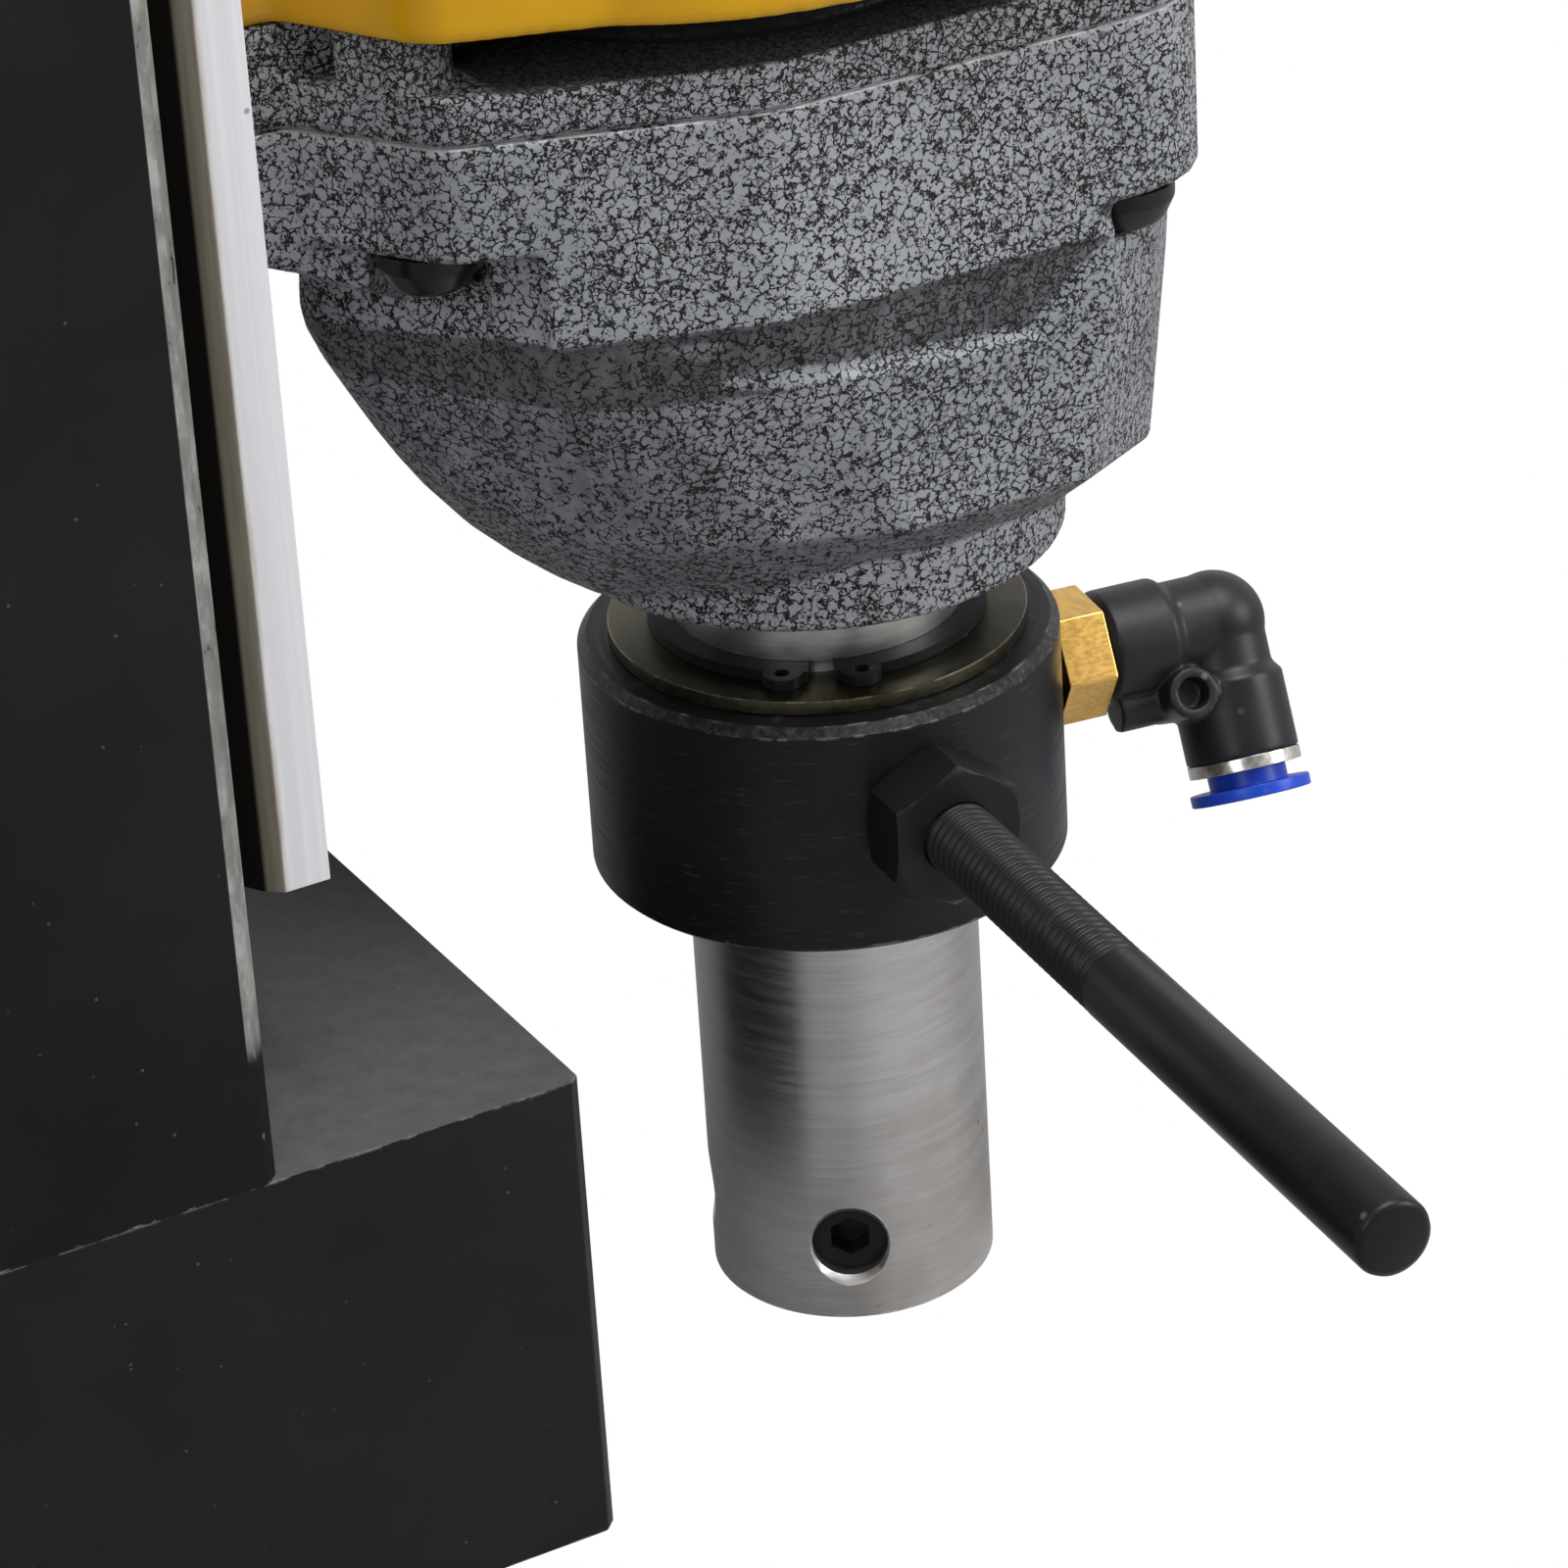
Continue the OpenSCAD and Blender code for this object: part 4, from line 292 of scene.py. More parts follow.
tone = add(crackle, "TexNoise", Vector=place, Scale=30.0, Detail=5.0).outputs["Fac"]
crackle.links.new(tone, outside.inputs["Tone"])
print("group", crackle.name)

# %% [markdown]
# A lathe leaves fine rings round the axis of the piece. Measured from that axis, a point has a
# radius and a height, and noise that changes fast with both, but hardly with the angle, gives
# the rings on the sides and on the end faces alike. The arbor's axis is the one that counts here.

# %% Group: turned marks round the arbor's axis
ARBOR_X = (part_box("arbor")[0].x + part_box("arbor")[1].x) / 2
turned_marks, inside, outside = start_group("turned_marks", {"Scale": 2600.0}, ["Fac"])
parts = add(turned_marks, "SeparateXYZ", Vector=add(turned_marks, "TexCoord").outputs["Object"])
away = calc(turned_marks, "SUBTRACT", parts.outputs["X"], ARBOR_X)
squares = calc(turned_marks, "ADD", calc(turned_marks, "POWER", away, 2.0),
               calc(turned_marks, "POWER", parts.outputs["Y"], 2.0))
around = calc(turned_marks, "MULTIPLY", calc(turned_marks, "ARCTAN2", parts.outputs["Y"], away), 0.0012)
along = add(turned_marks, "CombineXYZ", X=calc(turned_marks, "SQRT", squares), Y=parts.outputs["Z"], Z=around)
rings = add(turned_marks, "TexNoise", Vector=along.outputs[0], Scale=inside.outputs["Scale"], Detail=3.0)
turned_marks.links.new(rings.outputs["Fac"], outside.inputs["Fac"])
print("group", turned_marks.name, "axis at x", round(ARBOR_X, 4))

# %% [markdown]
# Each finish is one material. A short function starts it and returns its node tree and its
# Principled shader, on whose own sockets the even values stand. Another feeds it a bump height.

# %% Helpers: start a finish, and give it a bump
finishes = {}


def start_finish(name, color, rough, metal=0.0, **even):
    """A material with its even values set. It is also kept by name in finishes."""
    made = finishes[name] = bpy.data.materials.new(name)
    made.use_nodes = True
    shader = made.node_tree.nodes["Principled BSDF"]
    shader.inputs["Base Color"].default_value = (*color, 1)
    shader.inputs["Roughness"].default_value = rough
    shader.inputs["Metallic"].default_value = metal
    shader.inputs["Specular IOR Level"].default_value = 0.22
    for label, value in even.items():
        shader.inputs[label.replace("_", " ")].default_value = value
    return made, made.node_tree, shader


def bump(tree, shader, height, depth):
    """Turns a height into a change of the normal, at most depth metres deep."""
    made = add(tree, "Bump", Height=height, Distance=depth, Strength=1.0)
    tree.links.new(made.outputs[0], shader.inputs["Normal"])


def faces(tree):
    """The X, Y and Z of the surface's normal in the piece's own axes."""
    return add(tree, "SeparateXYZ", Vector=add(tree, "TexCoord").outputs["Normal"]).outputs


def lighter(color, times):
    """A colour multiplied, as four values. Below 1 it gets darker."""
    return (*[min(1.0, part * times) for part in color], 1)


# %% [markdown]
# Black enamel, moulded plastic and black oxide differ in colour, gloss and grain, but they are
# built alike: clouds in tone and gloss, a fine grain as bump, and edges worn or rubbed paler.
# So one function makes them, and each call below gives one finish its own numbers.

# %% Function: a dark skin with rubbed edges
def dark_skin(name, color, rough, worn, grain, depth, wear=0.45, radius=0.0005, **even):
    """A clouded dark skin with a grain, and with edges rubbed to the worn colour."""
    made, tree, shader = start_finish(name, color, rough, **even)
    skin = use_group(tree, fine_skin, Grain=grain, Specks=300.0)
    edges = use_group(tree, worn_edges, Radius=radius, Amount=wear)
    cloud = spread(tree, skin.outputs["Cloud"], 0.35, 0.7)
    paint = blend_colors(tree, cloud, (*color, 1), lighter(color, 1.6))
    dust = calc(tree, "MULTIPLY", skin.outputs["Dust"], 0.35)
    dusty = blend_colors(tree, dust, paint, (0.25, 0.25, 0.25, 1))
    rubbed = blend_colors(tree, edges.outputs["Mask"], dusty, (*worn, 1))
    tree.links.new(rubbed, shader.inputs["Base Color"])
    gloss = spread(tree, skin.outputs["Cloud"], 0.35, 0.7, rough - 0.05, rough + 0.07)
    tree.links.new(gloss, shader.inputs["Roughness"])
    bump(tree, shader, skin.outputs["Height"], depth)
    return made


black_screw = dark_skin("black_screw", (0.005, 0.005, 0.0052), 0.30, (0.05, 0.05, 0.05), 700.0, 0.00002)
dark_skin("black_plastic", (0.008, 0.0085, 0.009), 0.45, (0.03, 0.03, 0.031), 1500.0, 0.00002)
dark_skin("black_oxide", (0.009, 0.0093, 0.010), 0.36, (0.12, 0.12, 0.125), 900.0, 0.000012,
          wear=0.4, radius=0.0004, Specular_IOR_Level=0.14)
dark_skin("nylon", (0.007, 0.0075, 0.0085), 0.38, (0.02, 0.02, 0.022), 600.0, 0.00002, wear=0.2)
dark_skin("rubber", (0.012, 0.012, 0.012), 0.62, (0.03, 0.03, 0.03), 1100.0, 0.00003, wear=0.2)
dark_skin("resin", (0.02, 0.017, 0.014), 0.3, (0.05, 0.045, 0.04), 90.0, 0.00008, wear=0.2)
dark_skin("carbon", (0.012, 0.012, 0.013), 0.55, (0.05, 0.05, 0.05), 2400.0, 0.00003)
print("dark finishes ready")

# %% [markdown]
# The column's front edges are machined after painting. The chamfer between front and side is bare
# iron there, with a bright chipped line where the paint ends. The paint ends a millimetre before the
# chamfer, so the place along X finds it, and the normal's Y keeps the front face itself black.

# %% Finish: column paint with bare chamfers
PAINT_END_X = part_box("column")[1].x - 0.0027
FOOT_Z = 0.083
column_paint, tree, shader = start_finish("column_paint", (0.009, 0.009, 0.010), 0.34,
                                          Specular_IOR_Level=0.12)
skin = use_group(tree, fine_skin, Grain=170.0, Specks=650.0)
chips = stretched_noise(tree, (420, 420, 160), 5.0, 0.7)
sideways = calc(tree, "ABSOLUTE", faces(tree)["Y"])
place = add(tree, "SeparateXYZ", Vector=add(tree, "TexCoord").outputs["Object"])
cut = calc(tree, "MULTIPLY", spread(tree, place.outputs["X"], PAINT_END_X, PAINT_END_X + 0.0002),
           spread(tree, sideways, 0.2, 0.4))
cut = calc(tree, "MULTIPLY", cut, spread(tree, place.outputs["Z"], FOOT_Z, FOOT_Z + 0.005))
bare = calc(tree, "MULTIPLY", cut, spread(tree, chips, 0.33, 0.38))
edges = use_group(tree, worn_edges, Radius=0.0006, Amount=0.42)
cloud = spread(tree, skin.outputs["Cloud"], 0.3, 0.75)
paint = blend_colors(tree, cloud, (0.0055, 0.0055, 0.0063, 1), (0.010, 0.010, 0.0112, 1))
paint = blend_colors(tree, calc(tree, "MULTIPLY", skin.outputs["Dust"], 0.3), paint, (0.2, 0.2, 0.2, 1))
iron = blend_colors(tree, spread(tree, chips, 0.4, 0.7), (0.20, 0.205, 0.19, 1), (0.38, 0.385, 0.365, 1))
rubbed = blend_colors(tree, edges.outputs["Mask"], paint, (0.33, 0.33, 0.33, 1))
tree.links.new(blend_colors(tree, bare, rubbed, iron), shader.inputs["Base Color"])
tree.links.new(calc(tree, "MULTIPLY", bare, 0.4), shader.inputs["Metallic"])
tree.links.new(calc(tree, "ADD", spread(tree, cloud, 0, 1, 0.28, 0.4), calc(tree, "MULTIPLY", bare, 0.12)),
               shader.inputs["Roughness"])
bump(tree, shader, calc(tree, "SUBTRACT", skin.outputs["Height"], bare), 0.00006)
print("finish", column_paint.name)

# %% [markdown]
# The magnet block is blackened steel. Its sides are smooth. Its top is rougher, and is painted a
# lighter grey as light from the lamp above. The corners of the block have lost their black and
# show brownish specks.

# %% Finish: base paint with a painted lit top
base_paint, tree, shader = start_finish("base_paint", (0.011, 0.0115, 0.012), 0.42, Specular_IOR_Level=0.14)
skin = use_group(tree, fine_skin, Grain=900.0, Specks=700.0)
edges = use_group(tree, worn_edges, Radius=0.0005, Amount=0.62)
top = spread(tree, faces(tree)["Z"], 0.75, 0.95)
cloud = spread(tree, skin.outputs["Cloud"], 0.3, 0.75)
side = blend_colors(tree, cloud, (0.007, 0.0075, 0.008, 1), (0.012, 0.0125, 0.013, 1))
# Painted light: the top faces are a lighter grey, as lit from above.
lit_top = blend_colors(tree, stretched_noise(tree, (300, 300, 300), 5.0, 0.7), (0.036, 0.036, 0.038, 1),
                    (0.095, 0.095, 0.098, 1))
paint = blend_colors(tree, top, side, lit_top)
paint = blend_colors(tree, calc(tree, "MULTIPLY", skin.outputs["Dust"], 0.35), paint, (0.2, 0.19, 0.18, 1))
mottle = stretched_noise(tree, (700, 700, 700))
chip = blend_colors(tree, mottle, (0.10, 0.07, 0.05, 1), (0.34, 0.33, 0.32, 1))
tree.links.new(blend_colors(tree, edges.outputs["Mask"], paint, chip), shader.inputs["Base Color"])
tree.links.new(spread(tree, top, 0, 1, 0.38, 0.62), shader.inputs["Roughness"])
bump(tree, shader, skin.outputs["Height"], 0.000015)
print("finish", base_paint.name)

# %% [markdown]
# The slide is ground along its length, which leaves very faint upright streaks. Grease from the
# dovetail creeps out and dries brown along the edge beside the column. Behind that edge, toward
# the column, the metal is painted near black as shade of the gap.

# %% Finish: slide metal
FLANGE_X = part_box("slide_bar")[1].x - 0.006
slide_metal, tree, shader = start_finish("slide_metal", (0.76, 0.75, 0.775), 0.45, 0.1)
streaks = stretched_noise(tree, (900, 900, 9), 4.0, 0.6)
specks = use_group(tree, fine_skin, Grain=700.0, Specks=360.0)
place = add(tree, "SeparateXYZ", Vector=add(tree, "TexCoord").outputs["Object"])
creep = calc(tree, "MULTIPLY", stretched_noise(tree, (300, 300, 45), 4.0, 0.65), 0.0022)
inward = calc(tree, "SUBTRACT", place.outputs["X"], creep)
grease = spread(tree, inward, FLANGE_X - 0.0002, FLANGE_X - 0.0016)
# Painted shade: behind the flange, toward the column's gap, the slide is painted near black.
gap_shade = spread(tree, place.outputs["X"], FLANGE_X - 0.0016, FLANGE_X - 0.0021)
metal = blend_colors(tree, spread(tree, streaks, 0.3, 0.7), (0.68, 0.67, 0.695, 1), (0.76, 0.75, 0.775, 1))
metal = blend_colors(tree, calc(tree, "MULTIPLY", specks.outputs["Dust"], 0.7), metal, (0.12, 0.11, 0.11, 1))
mottle = stretched_noise(tree, (1200, 1200, 60))
stain = blend_colors(tree, mottle, (0.27, 0.22, 0.145, 1), (0.62, 0.56, 0.46, 1))
paint = blend_colors(tree, gap_shade, blend_colors(tree, grease, metal, stain), (0.02, 0.018, 0.016, 1))
tree.links.new(paint, shader.inputs["Base Color"])
tree.links.new(calc(tree, "SUBTRACT", 0.12, calc(tree, "MULTIPLY", grease, 0.12)), shader.inputs["Metallic"])
tree.links.new(spread(tree, streaks, 0.3, 0.7, 0.38, 0.46), shader.inputs["Roughness"])
bump(tree, shader, streaks, 0.000008)
print("finish", slide_metal.name)

# %% [markdown]
# On the gear case the crackle is open on the faces that the spray gun reached. Under the rim, on
# faces that look down and in the channels of the side walls, the coat is thin, with fewer tears,
# and is painted darker as shade, darkest in the channels. The lid's neck, behind the flange, is
# painted black as the shadow of the motor housing. Where lid and case meet, a thin line of metal
# is bare.

# %% Finish: crackle paint
SEAM_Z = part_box("gear_case")[1].z
NECK_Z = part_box("motor_housing")[0].z
NECK_SHADOW_X = 0.0825
CHANNEL_Z = (SEAM_Z - 0.0375, SEAM_Z - 0.022)
crackle_paint, tree, shader = start_finish("crackle_paint", (0.24, 0.25, 0.265), 0.5)
normal = faces(tree)
place = add(tree, "SeparateXYZ", Vector=add(tree, "TexCoord").outputs["Object"])
patch = stretched_noise(tree, (55, 55, 55), 4.0, 0.6)
tilt = calc(tree, "ADD", normal["Z"], calc(tree, "MULTIPLY", calc(tree, "SUBTRACT", patch, 0.5), 0.06))
lean = calc(tree, "MULTIPLY", calc(tree, "MINIMUM", normal["X"], 0.0), 0.35)
lower = spread(tree, calc(tree, "ADD", tilt, lean), -0.34, -0.48)
channel = calc(tree, "MULTIPLY", spread(tree, place.outputs["Z"], CHANNEL_Z[0], CHANNEL_Z[0] + 0.001),
               spread(tree, place.outputs["Z"], CHANNEL_Z[1], CHANNEL_Z[1] - 0.001))
channel = calc(tree, "MULTIPLY", channel, spread(tree, tilt, -0.1, -0.17))
flange = spread(tree, place.outputs["Z"], SEAM_Z - 0.0002, SEAM_Z + 0.0002)
closed = calc(tree, "ADD", calc(tree, "MULTIPLY", lower, 0.05), spread(tree, patch, 0.35, 0.65, -0.03, 0.05))
closed = calc(tree, "SUBTRACT", closed, calc(tree, "MULTIPLY", flange, 0.06))
coat = use_group(tree, crackle, Scale=740.0, Closed=closed)
streaks = stretched_noise(tree, (420, 420, 90), 5.0, 0.65)
drift = spread(tree, coat.outputs["Tone"], 0.3, 0.7)
streak = spread(tree, streaks, 0.35, 0.65)
island = blend_colors(tree, drift, (0.25, 0.26, 0.275, 1), (0.35, 0.36, 0.375, 1))
# Painted shade: faces that look down get a darker colour; their thin coat also has fewer tears.
thin_coat_shade = blend_colors(tree, streak, (0.15, 0.156, 0.166, 1), (0.23, 0.238, 0.25, 1))
# Painted shade: the channels under the rim are darker still.
dark = blend_colors(tree, streak, (0.075, 0.078, 0.084, 1), (0.13, 0.133, 0.14, 1))
paint = blend_colors(tree, channel, blend_colors(tree, lower, island, thin_coat_shade), dark)
paint = blend_colors(tree, coat.outputs["Tear"], paint, (0.006, 0.006, 0.0065, 1))
# Painted shadow: the lid's neck under the motor housing is painted black.
neck_shadow = calc(tree, "MULTIPLY", spread(tree, place.outputs["Z"], NECK_Z - 0.0075, NECK_Z - 0.0068),
            spread(tree, place.outputs["X"], NECK_SHADOW_X, NECK_SHADOW_X + 0.0015))
paint = blend_colors(tree, neck_shadow, paint, (0.012, 0.012, 0.013, 1))
from_seam = calc(tree, "ABSOLUTE", calc(tree, "SUBTRACT", place.outputs["Z"], SEAM_Z))
broken = stretched_noise(tree, (150, 150, 900), 4.0, 0.6)
seam = calc(tree, "MULTIPLY", spread(tree, from_seam, 0.0004, 0.00025), spread(tree, broken, 0.42, 0.5))
edges = use_group(tree, worn_edges, Radius=0.0006, Amount=0.5)
off_neck_shadow = calc(tree, "SUBTRACT", 1.0, neck_shadow)
metal = calc(tree, "MAXIMUM", seam, calc(tree, "MULTIPLY", edges.outputs["Mask"], off_neck_shadow))
tree.links.new(blend_colors(tree, metal, paint, (0.55, 0.55, 0.56, 1)), shader.inputs["Base Color"])
tree.links.new(calc(tree, "MULTIPLY", metal, 0.6), shader.inputs["Metallic"])
tree.links.new(calc(tree, "ADD", spread(tree, coat.outputs["Tone"], 0.3, 0.7, 0.42, 0.56),
                    calc(tree, "MULTIPLY", coat.outputs["Tear"], 0.2)), shader.inputs["Roughness"])
relief = calc(tree, "SUBTRACT", calc(tree, "MULTIPLY", streaks, 0.25), coat.outputs["Tear"])
bump(tree, shader, relief, 0.00012)
print("finish", crackle_paint.name, "seam at", round(SEAM_Z, 4))

# %% [markdown]
# Coloured enamel and coloured plastics share one recipe: an even colour that drifts a little in
# tone, a slight grain, and edges that are rubbed lighter. The motor's flange is golden yellow.

# %% Function and finishes: coloured coats
def color_coat(name, color, rough, grain, depth, **even):
    """An even colour that drifts a little in tone, with edges rubbed lighter."""
    _, tree, shader = start_finish(name, color, rough, **even)
    skin = use_group(tree, fine_skin, Grain=grain)
    edges = use_group(tree, worn_edges, Radius=0.0004, Amount=0.2)
    cloud = spread(tree, skin.outputs["Cloud"], 0.3, 0.75)
    drift = blend_colors(tree, cloud, lighter(color, 0.88), lighter(color, 1.08))
    dust = calc(tree, "MULTIPLY", skin.outputs["Dust"], 0.3)
    dusty = blend_colors(tree, dust, drift, (0.1, 0.09, 0.08, 1))
    rubbed = blend_colors(tree, edges.outputs["Mask"], dusty, lighter(color, 1.5))
    tree.links.new(rubbed, shader.inputs["Base Color"])
    gloss = spread(tree, skin.outputs["Cloud"], 0.35, 0.7, rough - 0.05, rough + 0.06)
    tree.links.new(gloss, shader.inputs["Roughness"])
    bump(tree, shader, skin.outputs["Height"], depth)


color_coat("yellow_paint", (0.62, 0.32, 0.002), 0.36, 220.0, 0.00003, Coat_Weight=0.2)
color_coat("blue_plastic", (0.012, 0.055, 0.45), 0.35, 1200.0, 0.00001)
color_coat("red_plastic", (0.45, 0.012, 0.01), 0.28, 1500.0, 0.000008)
color_coat("green_plastic", (0.01, 0.22, 0.045), 0.28, 1500.0, 0.000008)
color_coat("board", (0.02, 0.10, 0.05), 0.4, 1800.0, 0.00002)
color_coat("copper", (0.72, 0.30, 0.13), 0.3, 1400.0, 0.00005, Metallic=0.9)
print("coloured finishes ready")

# %% [markdown]
# Machined metals come next. Steel, bronze, brass, aluminium and nickel differ in colour and in how
# rough the cut is. A cut surface has fine parallel marks, and oil or tarnish lies on it in clouds.
# The marks follow the given scales: small along one axis, they run along that axis.

# %% Function and finishes: machined metals
def machined(name, color, tarnish, rough, scales, depth, worn=None, share=1.0):
    """A cut metal with parallel marks and clouds of tarnish, and edges rubbed if worn is given."""
    made, tree, shader = start_finish(name, color, rough, 0.95)
    marks = stretched_noise(tree, scales, 4.0, 0.6)
    skin = use_group(tree, fine_skin, Grain=900.0, Specks=420.0)
    stain = calc(tree, "MULTIPLY", spread(tree, skin.outputs["Cloud"], 0.42, 0.68), 0.6 * share)
    cut = blend_colors(tree, spread(tree, marks, 0.35, 0.65), lighter(color, 0.85), lighter(color, 1.1))
    paint = blend_colors(tree, stain, cut, (*tarnish, 1))
    paint = blend_colors(tree, calc(tree, "MULTIPLY", skin.outputs["Dust"], 0.6), paint, (*tarnish, 1))
    if worn:
        edges = use_group(tree, worn_edges, Radius=0.0004, Amount=0.7)
        paint = blend_colors(tree, edges.outputs["Mask"], paint, (*worn, 1))
    tree.links.new(paint, shader.inputs["Base Color"])
    tree.links.new(calc(tree, "ADD", spread(tree, marks, 0.3, 0.7, rough - 0.04, rough + 0.05),
                        calc(tree, "MULTIPLY", stain, 0.15)), shader.inputs["Roughness"])
    bump(tree, shader, marks, depth)
    return made


oily_bronze = machined("oily_bronze", (0.085, 0.078, 0.048), (0.03, 0.028, 0.02), 0.36,
                       (700, 700, 700), 0.00001, (0.34, 0.32, 0.24))
machined("bronze", (0.22, 0.19, 0.115), (0.08, 0.075, 0.045), 0.42, (700, 700, 700), 0.00001,
         (0.50, 0.47, 0.36))
machined("steel", (0.56, 0.55, 0.54), (0.25, 0.23, 0.21), 0.26, (500, 500, 2500), 0.000006)
machined("dark_steel", (0.11, 0.11, 0.115), (0.05, 0.045, 0.04), 0.38, (900, 900, 900), 0.00001,
         (0.35, 0.35, 0.35))
machined("brass", (0.66, 0.40, 0.105), (0.20, 0.11, 0.04), 0.3, (900, 250, 2000), 0.00002,
         (0.85, 0.62, 0.28), 0.6)
machined("nickel", (0.60, 0.58, 0.54), (0.35, 0.32, 0.28), 0.22, (900, 900, 900), 0.000004)
machined("alloy", (0.46, 0.46, 0.47), (0.30, 0.30, 0.30), 0.5, (350, 350, 350), 0.00003)
machined("laminated_steel", (0.22, 0.22, 0.23), (0.12, 0.10, 0.08), 0.4, (60, 60, 3200), 0.00008)
print("machined finishes ready")

# %% [markdown]
# The arbor is turned and ground. Fine rings run round it, and they blur each lamp into a band
# along the arbor. Old coolant has left faint brown clouds all over it.

# %% Finish: ground arbor
arbor_steel, tree, shader = start_finish("arbor_steel", (0.42, 0.41, 0.405), 0.27, 1.0)
rings = use_group(tree, turned_marks, Scale=2600.0)
coarse = use_group(tree, turned_marks, Scale=700.0)
skin = use_group(tree, fine_skin, Grain=800.0, Specks=380.0)
edges = use_group(tree, worn_edges, Radius=0.0004, Amount=0.6)
marks = calc(tree, "MULTIPLY", calc(tree, "ADD", rings.outputs["Fac"], coarse.outputs["Fac"]), 0.5)
cut = blend_colors(tree, spread(tree, marks, 0.38, 0.62), (0.37, 0.36, 0.355, 1), (0.43, 0.42, 0.415, 1))
stain = calc(tree, "MULTIPLY", spread(tree, skin.outputs["Cloud"], 0.48, 0.7), 0.4)
paint = blend_colors(tree, stain, cut, (0.20, 0.17, 0.14, 1))
paint = blend_colors(tree, calc(tree, "MULTIPLY", skin.outputs["Dust"], 0.6), paint, (0.1, 0.08, 0.07, 1))
rubbed = blend_colors(tree, edges.outputs["Mask"], paint, (0.75, 0.74, 0.73, 1))
tree.links.new(rubbed, shader.inputs["Base Color"])
gloss = spread(tree, marks, 0.35, 0.65, 0.33, 0.40)
gloss = calc(tree, "ADD", gloss, calc(tree, "MULTIPLY", stain, 0.3))
tree.links.new(gloss, shader.inputs["Roughness"])
bump(tree, shader, marks, 0.0000006)
print("finish", arbor_steel.name)

# %% [markdown]
# The coolant ring is turned and blackened. The chamfer on its top edge is lighter, with bright
# specks: partly scuffs from fitting and refitting it, and partly a painted highlight of the lamp
# above. The chamfer looks half up and half outward, so the normal's Z finds it. The threaded rod
# keeps the plain black oxide from above, with its worn edges.

# %% Finish: blackened ring
ring_oxide, tree, shader = start_finish("ring_oxide", (0.0095, 0.0098, 0.0105), 0.38, Specular_IOR_Level=0.14)
rings = use_group(tree, turned_marks, Scale=1500.0)
skin = use_group(tree, fine_skin, Grain=900.0, Specks=300.0)
up_part = faces(tree)["Z"]
slope = calc(tree, "MULTIPLY", spread(tree, up_part, 0.3, 0.55), spread(tree, up_part, 0.97, 0.85))
scuff_and_sheen_noise = stretched_noise(tree, (900, 900, 900), 6.0, 0.75)
scratch = stretched_noise(tree, (260, 260, 2600), 3.0, 0.5)
edges = use_group(tree, worn_edges, Radius=0.0005, Amount=0.55)
cloud = spread(tree, skin.outputs["Cloud"], 0.3, 0.75)
paint = blend_colors(tree, cloud, (0.0085, 0.0088, 0.0095, 1), (0.0175, 0.0178, 0.0185, 1))
scratched = calc(tree, "MULTIPLY", spread(tree, scratch, 0.62, 0.72), 0.35)
paint = blend_colors(tree, scratched, paint, (0.07, 0.07, 0.07, 1))
# Scuffs and painted highlight: the up-facing chamfer is painted lighter, with bright specks.
scuffed_and_sheen = calc(tree, "MULTIPLY", slope, spread(tree, scuff_and_sheen_noise, 0.4, 0.7))
paint = blend_colors(tree, scuffed_and_sheen, paint, (0.05, 0.05, 0.051, 1))
specks = calc(tree, "MULTIPLY", slope, spread(tree, scuff_and_sheen_noise, 0.66, 0.72))
bright = calc(tree, "MAXIMUM", edges.outputs["Mask"], specks)
tree.links.new(blend_colors(tree, bright, paint, (0.34, 0.335, 0.33, 1)), shader.inputs["Base Color"])
tree.links.new(spread(tree, rings.outputs["Fac"], 0.3, 0.7, 0.33, 0.45), shader.inputs["Roughness"])
bump(tree, shader, rings.outputs["Fac"], 0.00001)
print("finish", ring_oxide.name)

# %% [markdown]
# Now each solid gets its finish. Most take the one that the record's slot names. The parts in the
# photo that have a finish of their own are listed first.

# %% Give every solid its finish
own_finish = {"column": column_paint, "magnet_body": base_paint, "arbor": arbor_steel,
              "coolant_ring": ring_oxide, "thrust_washer": oily_bronze}
slot_finish = {"black_paint": column_paint, "slide_alloy": slide_metal, "case_screw_black": black_screw}
finish_of = {}
for node, thing in frame["nodes"].items():
    slot = slot_of[node]
    finish_of[node] = own_finish.get(node) or slot_finish.get(slot) or finishes[slot]
    thing.data.materials.clear()
    thing.data.materials.append(finish_of[node])
print("finishes in use:", len(set(finish_of.values())))

# %% [markdown]
# The solids have sharp edges and plain rods. Some are now modelled further, each from a copy of
# the solid, so that the copy keeps its true size and place. A solid comes in as loose triangles.
# They are merged, and flat neighbours are dissolved into whole faces, before anything is done.

# %% Helpers: copy a solid and finish a piece
def select_only(thing):
    """Deselects everything else and makes this object the active one."""
    bpy.ops.object.select_all(action="DESELECT")
    thing.select_set(True)
    bpy.context.view_layer.objects.active = thing


def copy_node(node):
    """A merged copy of a solid, with flat areas made into single faces."""
    solid = frame["nodes"][node]
    piece = bpy.data.objects.new(node + "_piece", solid.data.copy())
    bpy.context.scene.collection.objects.link(piece)
    select_only(piece)
    bpy.ops.mesh.customdata_custom_splitnormals_clear()
    bpy.ops.object.mode_set(mode="EDIT")
    bpy.ops.mesh.select_all(action="SELECT")
    bpy.ops.mesh.remove_doubles(threshold=0.000002)
    bpy.ops.mesh.dissolve_limited(angle_limit=math.radians(0.5))
    bpy.ops.object.mode_set(mode="OBJECT")
    return piece


def apply_modifier(piece, kind, **settings):
    """Adds a modifier with these settings and applies it."""
    select_only(piece)
    made = piece.modifiers.new(kind.lower(), kind)
    for name, value in settings.items():
        setattr(made, name, value)
    bpy.ops.object.modifier_apply(modifier=made.name)


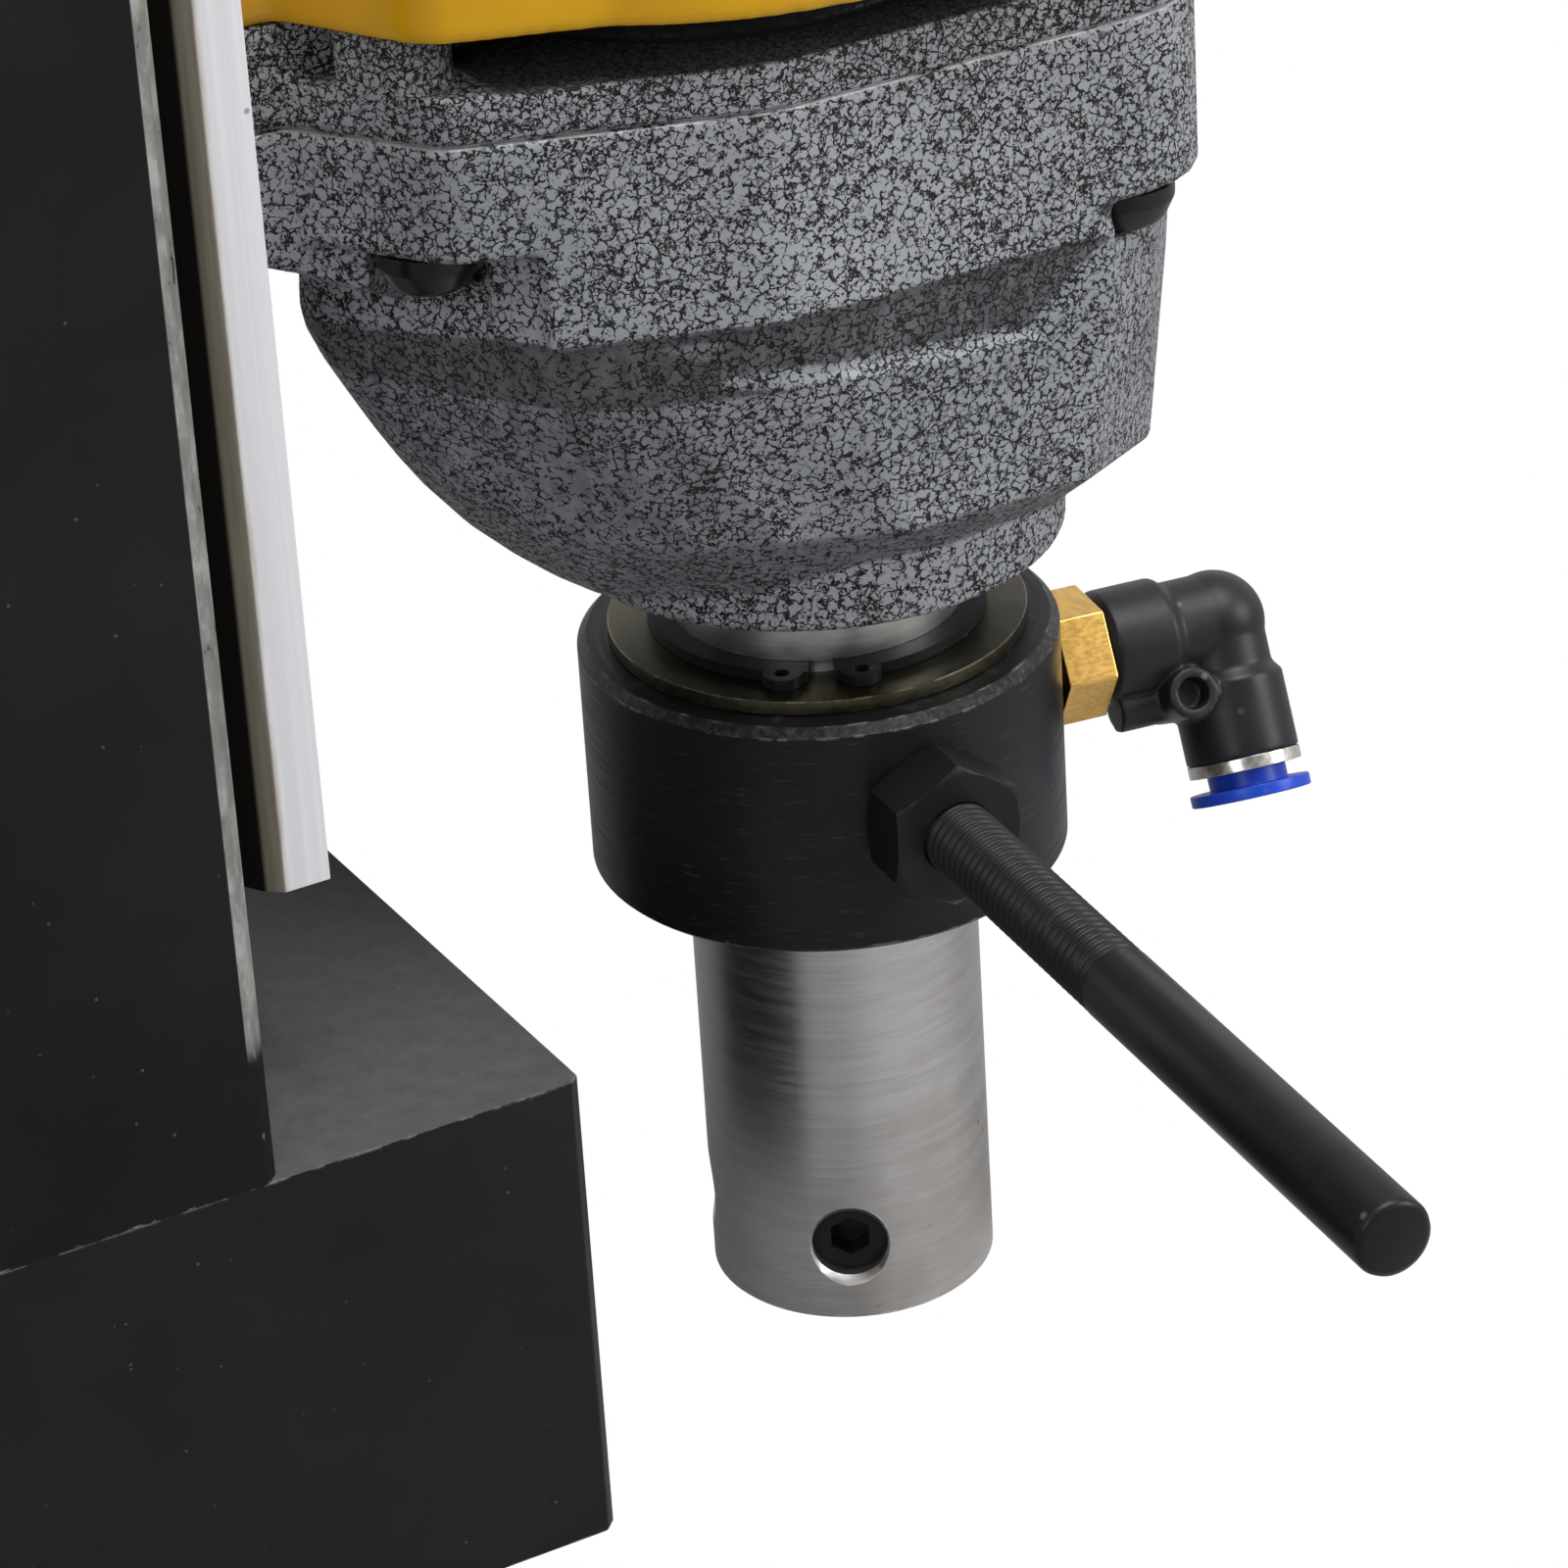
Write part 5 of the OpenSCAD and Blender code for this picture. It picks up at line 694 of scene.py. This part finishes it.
def finish_piece(piece, node, smooth, flat_faces=False):
    """The piece takes the solid's place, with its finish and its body.

    Edges blunter than smooth degrees are shaded round. flat_faces keeps large flats evenly lit."""
    select_only(piece)
    bpy.ops.object.mode_set(mode="EDIT")
    bpy.ops.mesh.select_all(action="SELECT")
    bpy.ops.mesh.normals_make_consistent(inside=False)
    bpy.ops.object.mode_set(mode="OBJECT")
    bpy.ops.object.shade_smooth_by_angle(angle=math.radians(smooth))
    if flat_faces:
        apply_modifier(piece, "WEIGHTED_NORMAL", weight=100, keep_sharp=True)
    piece.data.materials.clear()
    piece.data.materials.append(finish_of[node])
    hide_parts(node)
    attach(piece, body_of[node])
    piece.data.calc_loop_triangles()
    print(node, "as a piece with", len(piece.data.loop_triangles), "triangles")


# %% [markdown]
# Sand castings and mouldings have no sharp edges at all. Laying an even grid of small voxels over
# the solid and smoothing it rounds every edge and fills every corner by the same small radius, as
# a cast surface has them. Decimation then removes the points that flat areas don't need.

# %% Function: give a casting its soft edges
def cast(node, voxel, passes, keep):
    """Remeshes a copy of the solid with voxels of this many millimetres, and smooths it."""
    piece = copy_node(node)
    apply_modifier(piece, "TRIANGULATE")
    apply_modifier(piece, "REMESH", mode="VOXEL", voxel_size=voxel * MM)
    apply_modifier(piece, "SMOOTH", factor=0.5, iterations=passes)
    apply_modifier(piece, "DECIMATE", ratio=keep)
    finish_piece(piece, node, 60)


cast("gear_case", 0.6, 4, 0.35)
cast("gear_case_lid", 0.55, 4, 0.35)

# %% [markdown]
# Machined and moulded parts have broken edges rather than soft ones. For these a bevel along the
# sharp edges of the copy is enough. Its width is that of the real piece's edge, in millimetres.

# %% Break the edges of the machined and moulded parts
EDGE_WIDTHS = {
    "column": 0.3, "magnet_body": 0.5, "slide_bar": 0.2, "coolant_ring": 0.3, "arbor": 0.3,
    "arbor_set_screws": 0.2, "rod_nut": 0.25, "thrust_washer": 0.15, "fitting_stem": 0.25,
    "release_collar": 0.2, "fitting_ferrule": 0.1, "case_screws": 0.3, "end_cap": 0.6,
    "rear_cover": 0.5, "button_bezels": 0.3, "power_rocker": 0.3, "start_button": 0.3,
    "stop_button": 0.3, "handle_hub": 0.5, "power_gland": 0.3,
}
EDGE_ANGLE = math.radians(40)
for node, width in EDGE_WIDTHS.items():
    piece = copy_node(node)
    apply_modifier(piece, "BEVEL", width=width * MM, segments=2, limit_method="ANGLE",
                   angle_limit=EDGE_ANGLE, use_clamp_overlap=True)
    finish_piece(piece, node, 35, True)

# %% [markdown]
# The motor housing, the tube elbow and the carrying handle are castings and mouldings again.

# %% More soft castings and mouldings
cast("motor_housing", 0.9, 6, 0.3)
cast("fitting_elbow", 0.3, 5, 0.5)
cast("carry_handle", 0.9, 6, 0.4)

# %% [markdown]
# The stop rod is threaded from the ring to about half its length, and the rest is a plain shank.
# One pitch of the worn, rounded thread is drawn point by point, each extruded from the last, and
# the Screw modifier winds it round the axis. The two open ends are filled; one lies inside the
# ring and the other inside the shank.

# %% Piece: the threaded stop rod
PITCH = 1.5
ROD_ANGLE = -94.5  # degrees: the rod's direction, seen from above
ROD_START = 25.2  # this and the next two are millimetres from the arbor's axis
THREAD_END = 81.6
ROD_END = 148.2
INTO_SHANK = 2
THREAD_STEPS = 40
rod_low, rod_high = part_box("stop_rod")
rod_height = (rod_low.z + rod_high.z) / 2
rod_radius = (rod_high.z - rod_low.z) / 2
profile = [(4.22, 0.0), (4.30, 0.22), (4.66, 0.42), (4.84, 0.6), (4.87, 0.75), (4.84, 0.9),
           (4.66, 1.08), (4.30, 1.28), (4.22, PITCH)]
bpy.ops.mesh.primitive_plane_add(size=0.001, location=(0, 0, 0))
thread = bpy.context.object
thread.name = "stop_rod_thread"
bpy.ops.object.mode_set(mode="EDIT")
bpy.ops.mesh.select_mode(type="VERT")
bpy.ops.mesh.select_all(action="SELECT")
bpy.ops.mesh.merge(type="CENTER")
bpy.ops.transform.translate(value=(profile[0][0] * MM, 0, profile[0][1] * MM))
for (r0, z0), (r1, z1) in zip(profile, profile[1:]):
    step = ((r1 - r0) * MM, 0, (z1 - z0) * MM)
    bpy.ops.mesh.extrude_region_move(TRANSFORM_OT_translate={"value": step})
bpy.ops.object.mode_set(mode="OBJECT")
turns = round((THREAD_END + INTO_SHANK - ROD_START) / PITCH)
apply_modifier(thread, "SCREW", axis="Z", steps=THREAD_STEPS, render_steps=THREAD_STEPS,
               screw_offset=PITCH * MM, iterations=turns, use_merge_vertices=True,
               merge_threshold=0.00001)
bpy.ops.object.mode_set(mode="EDIT")
bpy.ops.mesh.select_all(action="SELECT")
bpy.ops.mesh.remove_doubles(threshold=0.00001)
bpy.ops.mesh.select_all(action="DESELECT")
bpy.ops.mesh.select_non_manifold()
bpy.ops.mesh.fill()
bpy.ops.object.mode_set(mode="OBJECT")

bpy.ops.mesh.primitive_cylinder_add(vertices=96, radius=rod_radius, depth=(ROD_END - THREAD_END) * MM,
                                    location=(0, 0, (ROD_END + THREAD_END) / 2 * MM - ROD_START * MM))
shank = bpy.context.object
apply_modifier(shank, "BEVEL", width=0.9 * MM, segments=2, limit_method="ANGLE",
               angle_limit=EDGE_ANGLE)
thread.select_set(True)
bpy.context.view_layer.objects.active = thread
bpy.ops.object.join()
thread.rotation_euler = (0, math.radians(90), math.radians(ROD_ANGLE))
thread.location = (ARBOR_X + math.cos(math.radians(ROD_ANGLE)) * ROD_START * MM,
                   math.sin(math.radians(ROD_ANGLE)) * ROD_START * MM, rod_height)
bpy.ops.object.transform_apply(location=True, rotation=True, scale=True)
finish_piece(thread, "stop_rod", 50)
rod_tip = min(vertex.co.y for vertex in thread.data.vertices)
print("rod reaches y", round(rod_tip, 4), "solid", round(rod_low.y, 4))
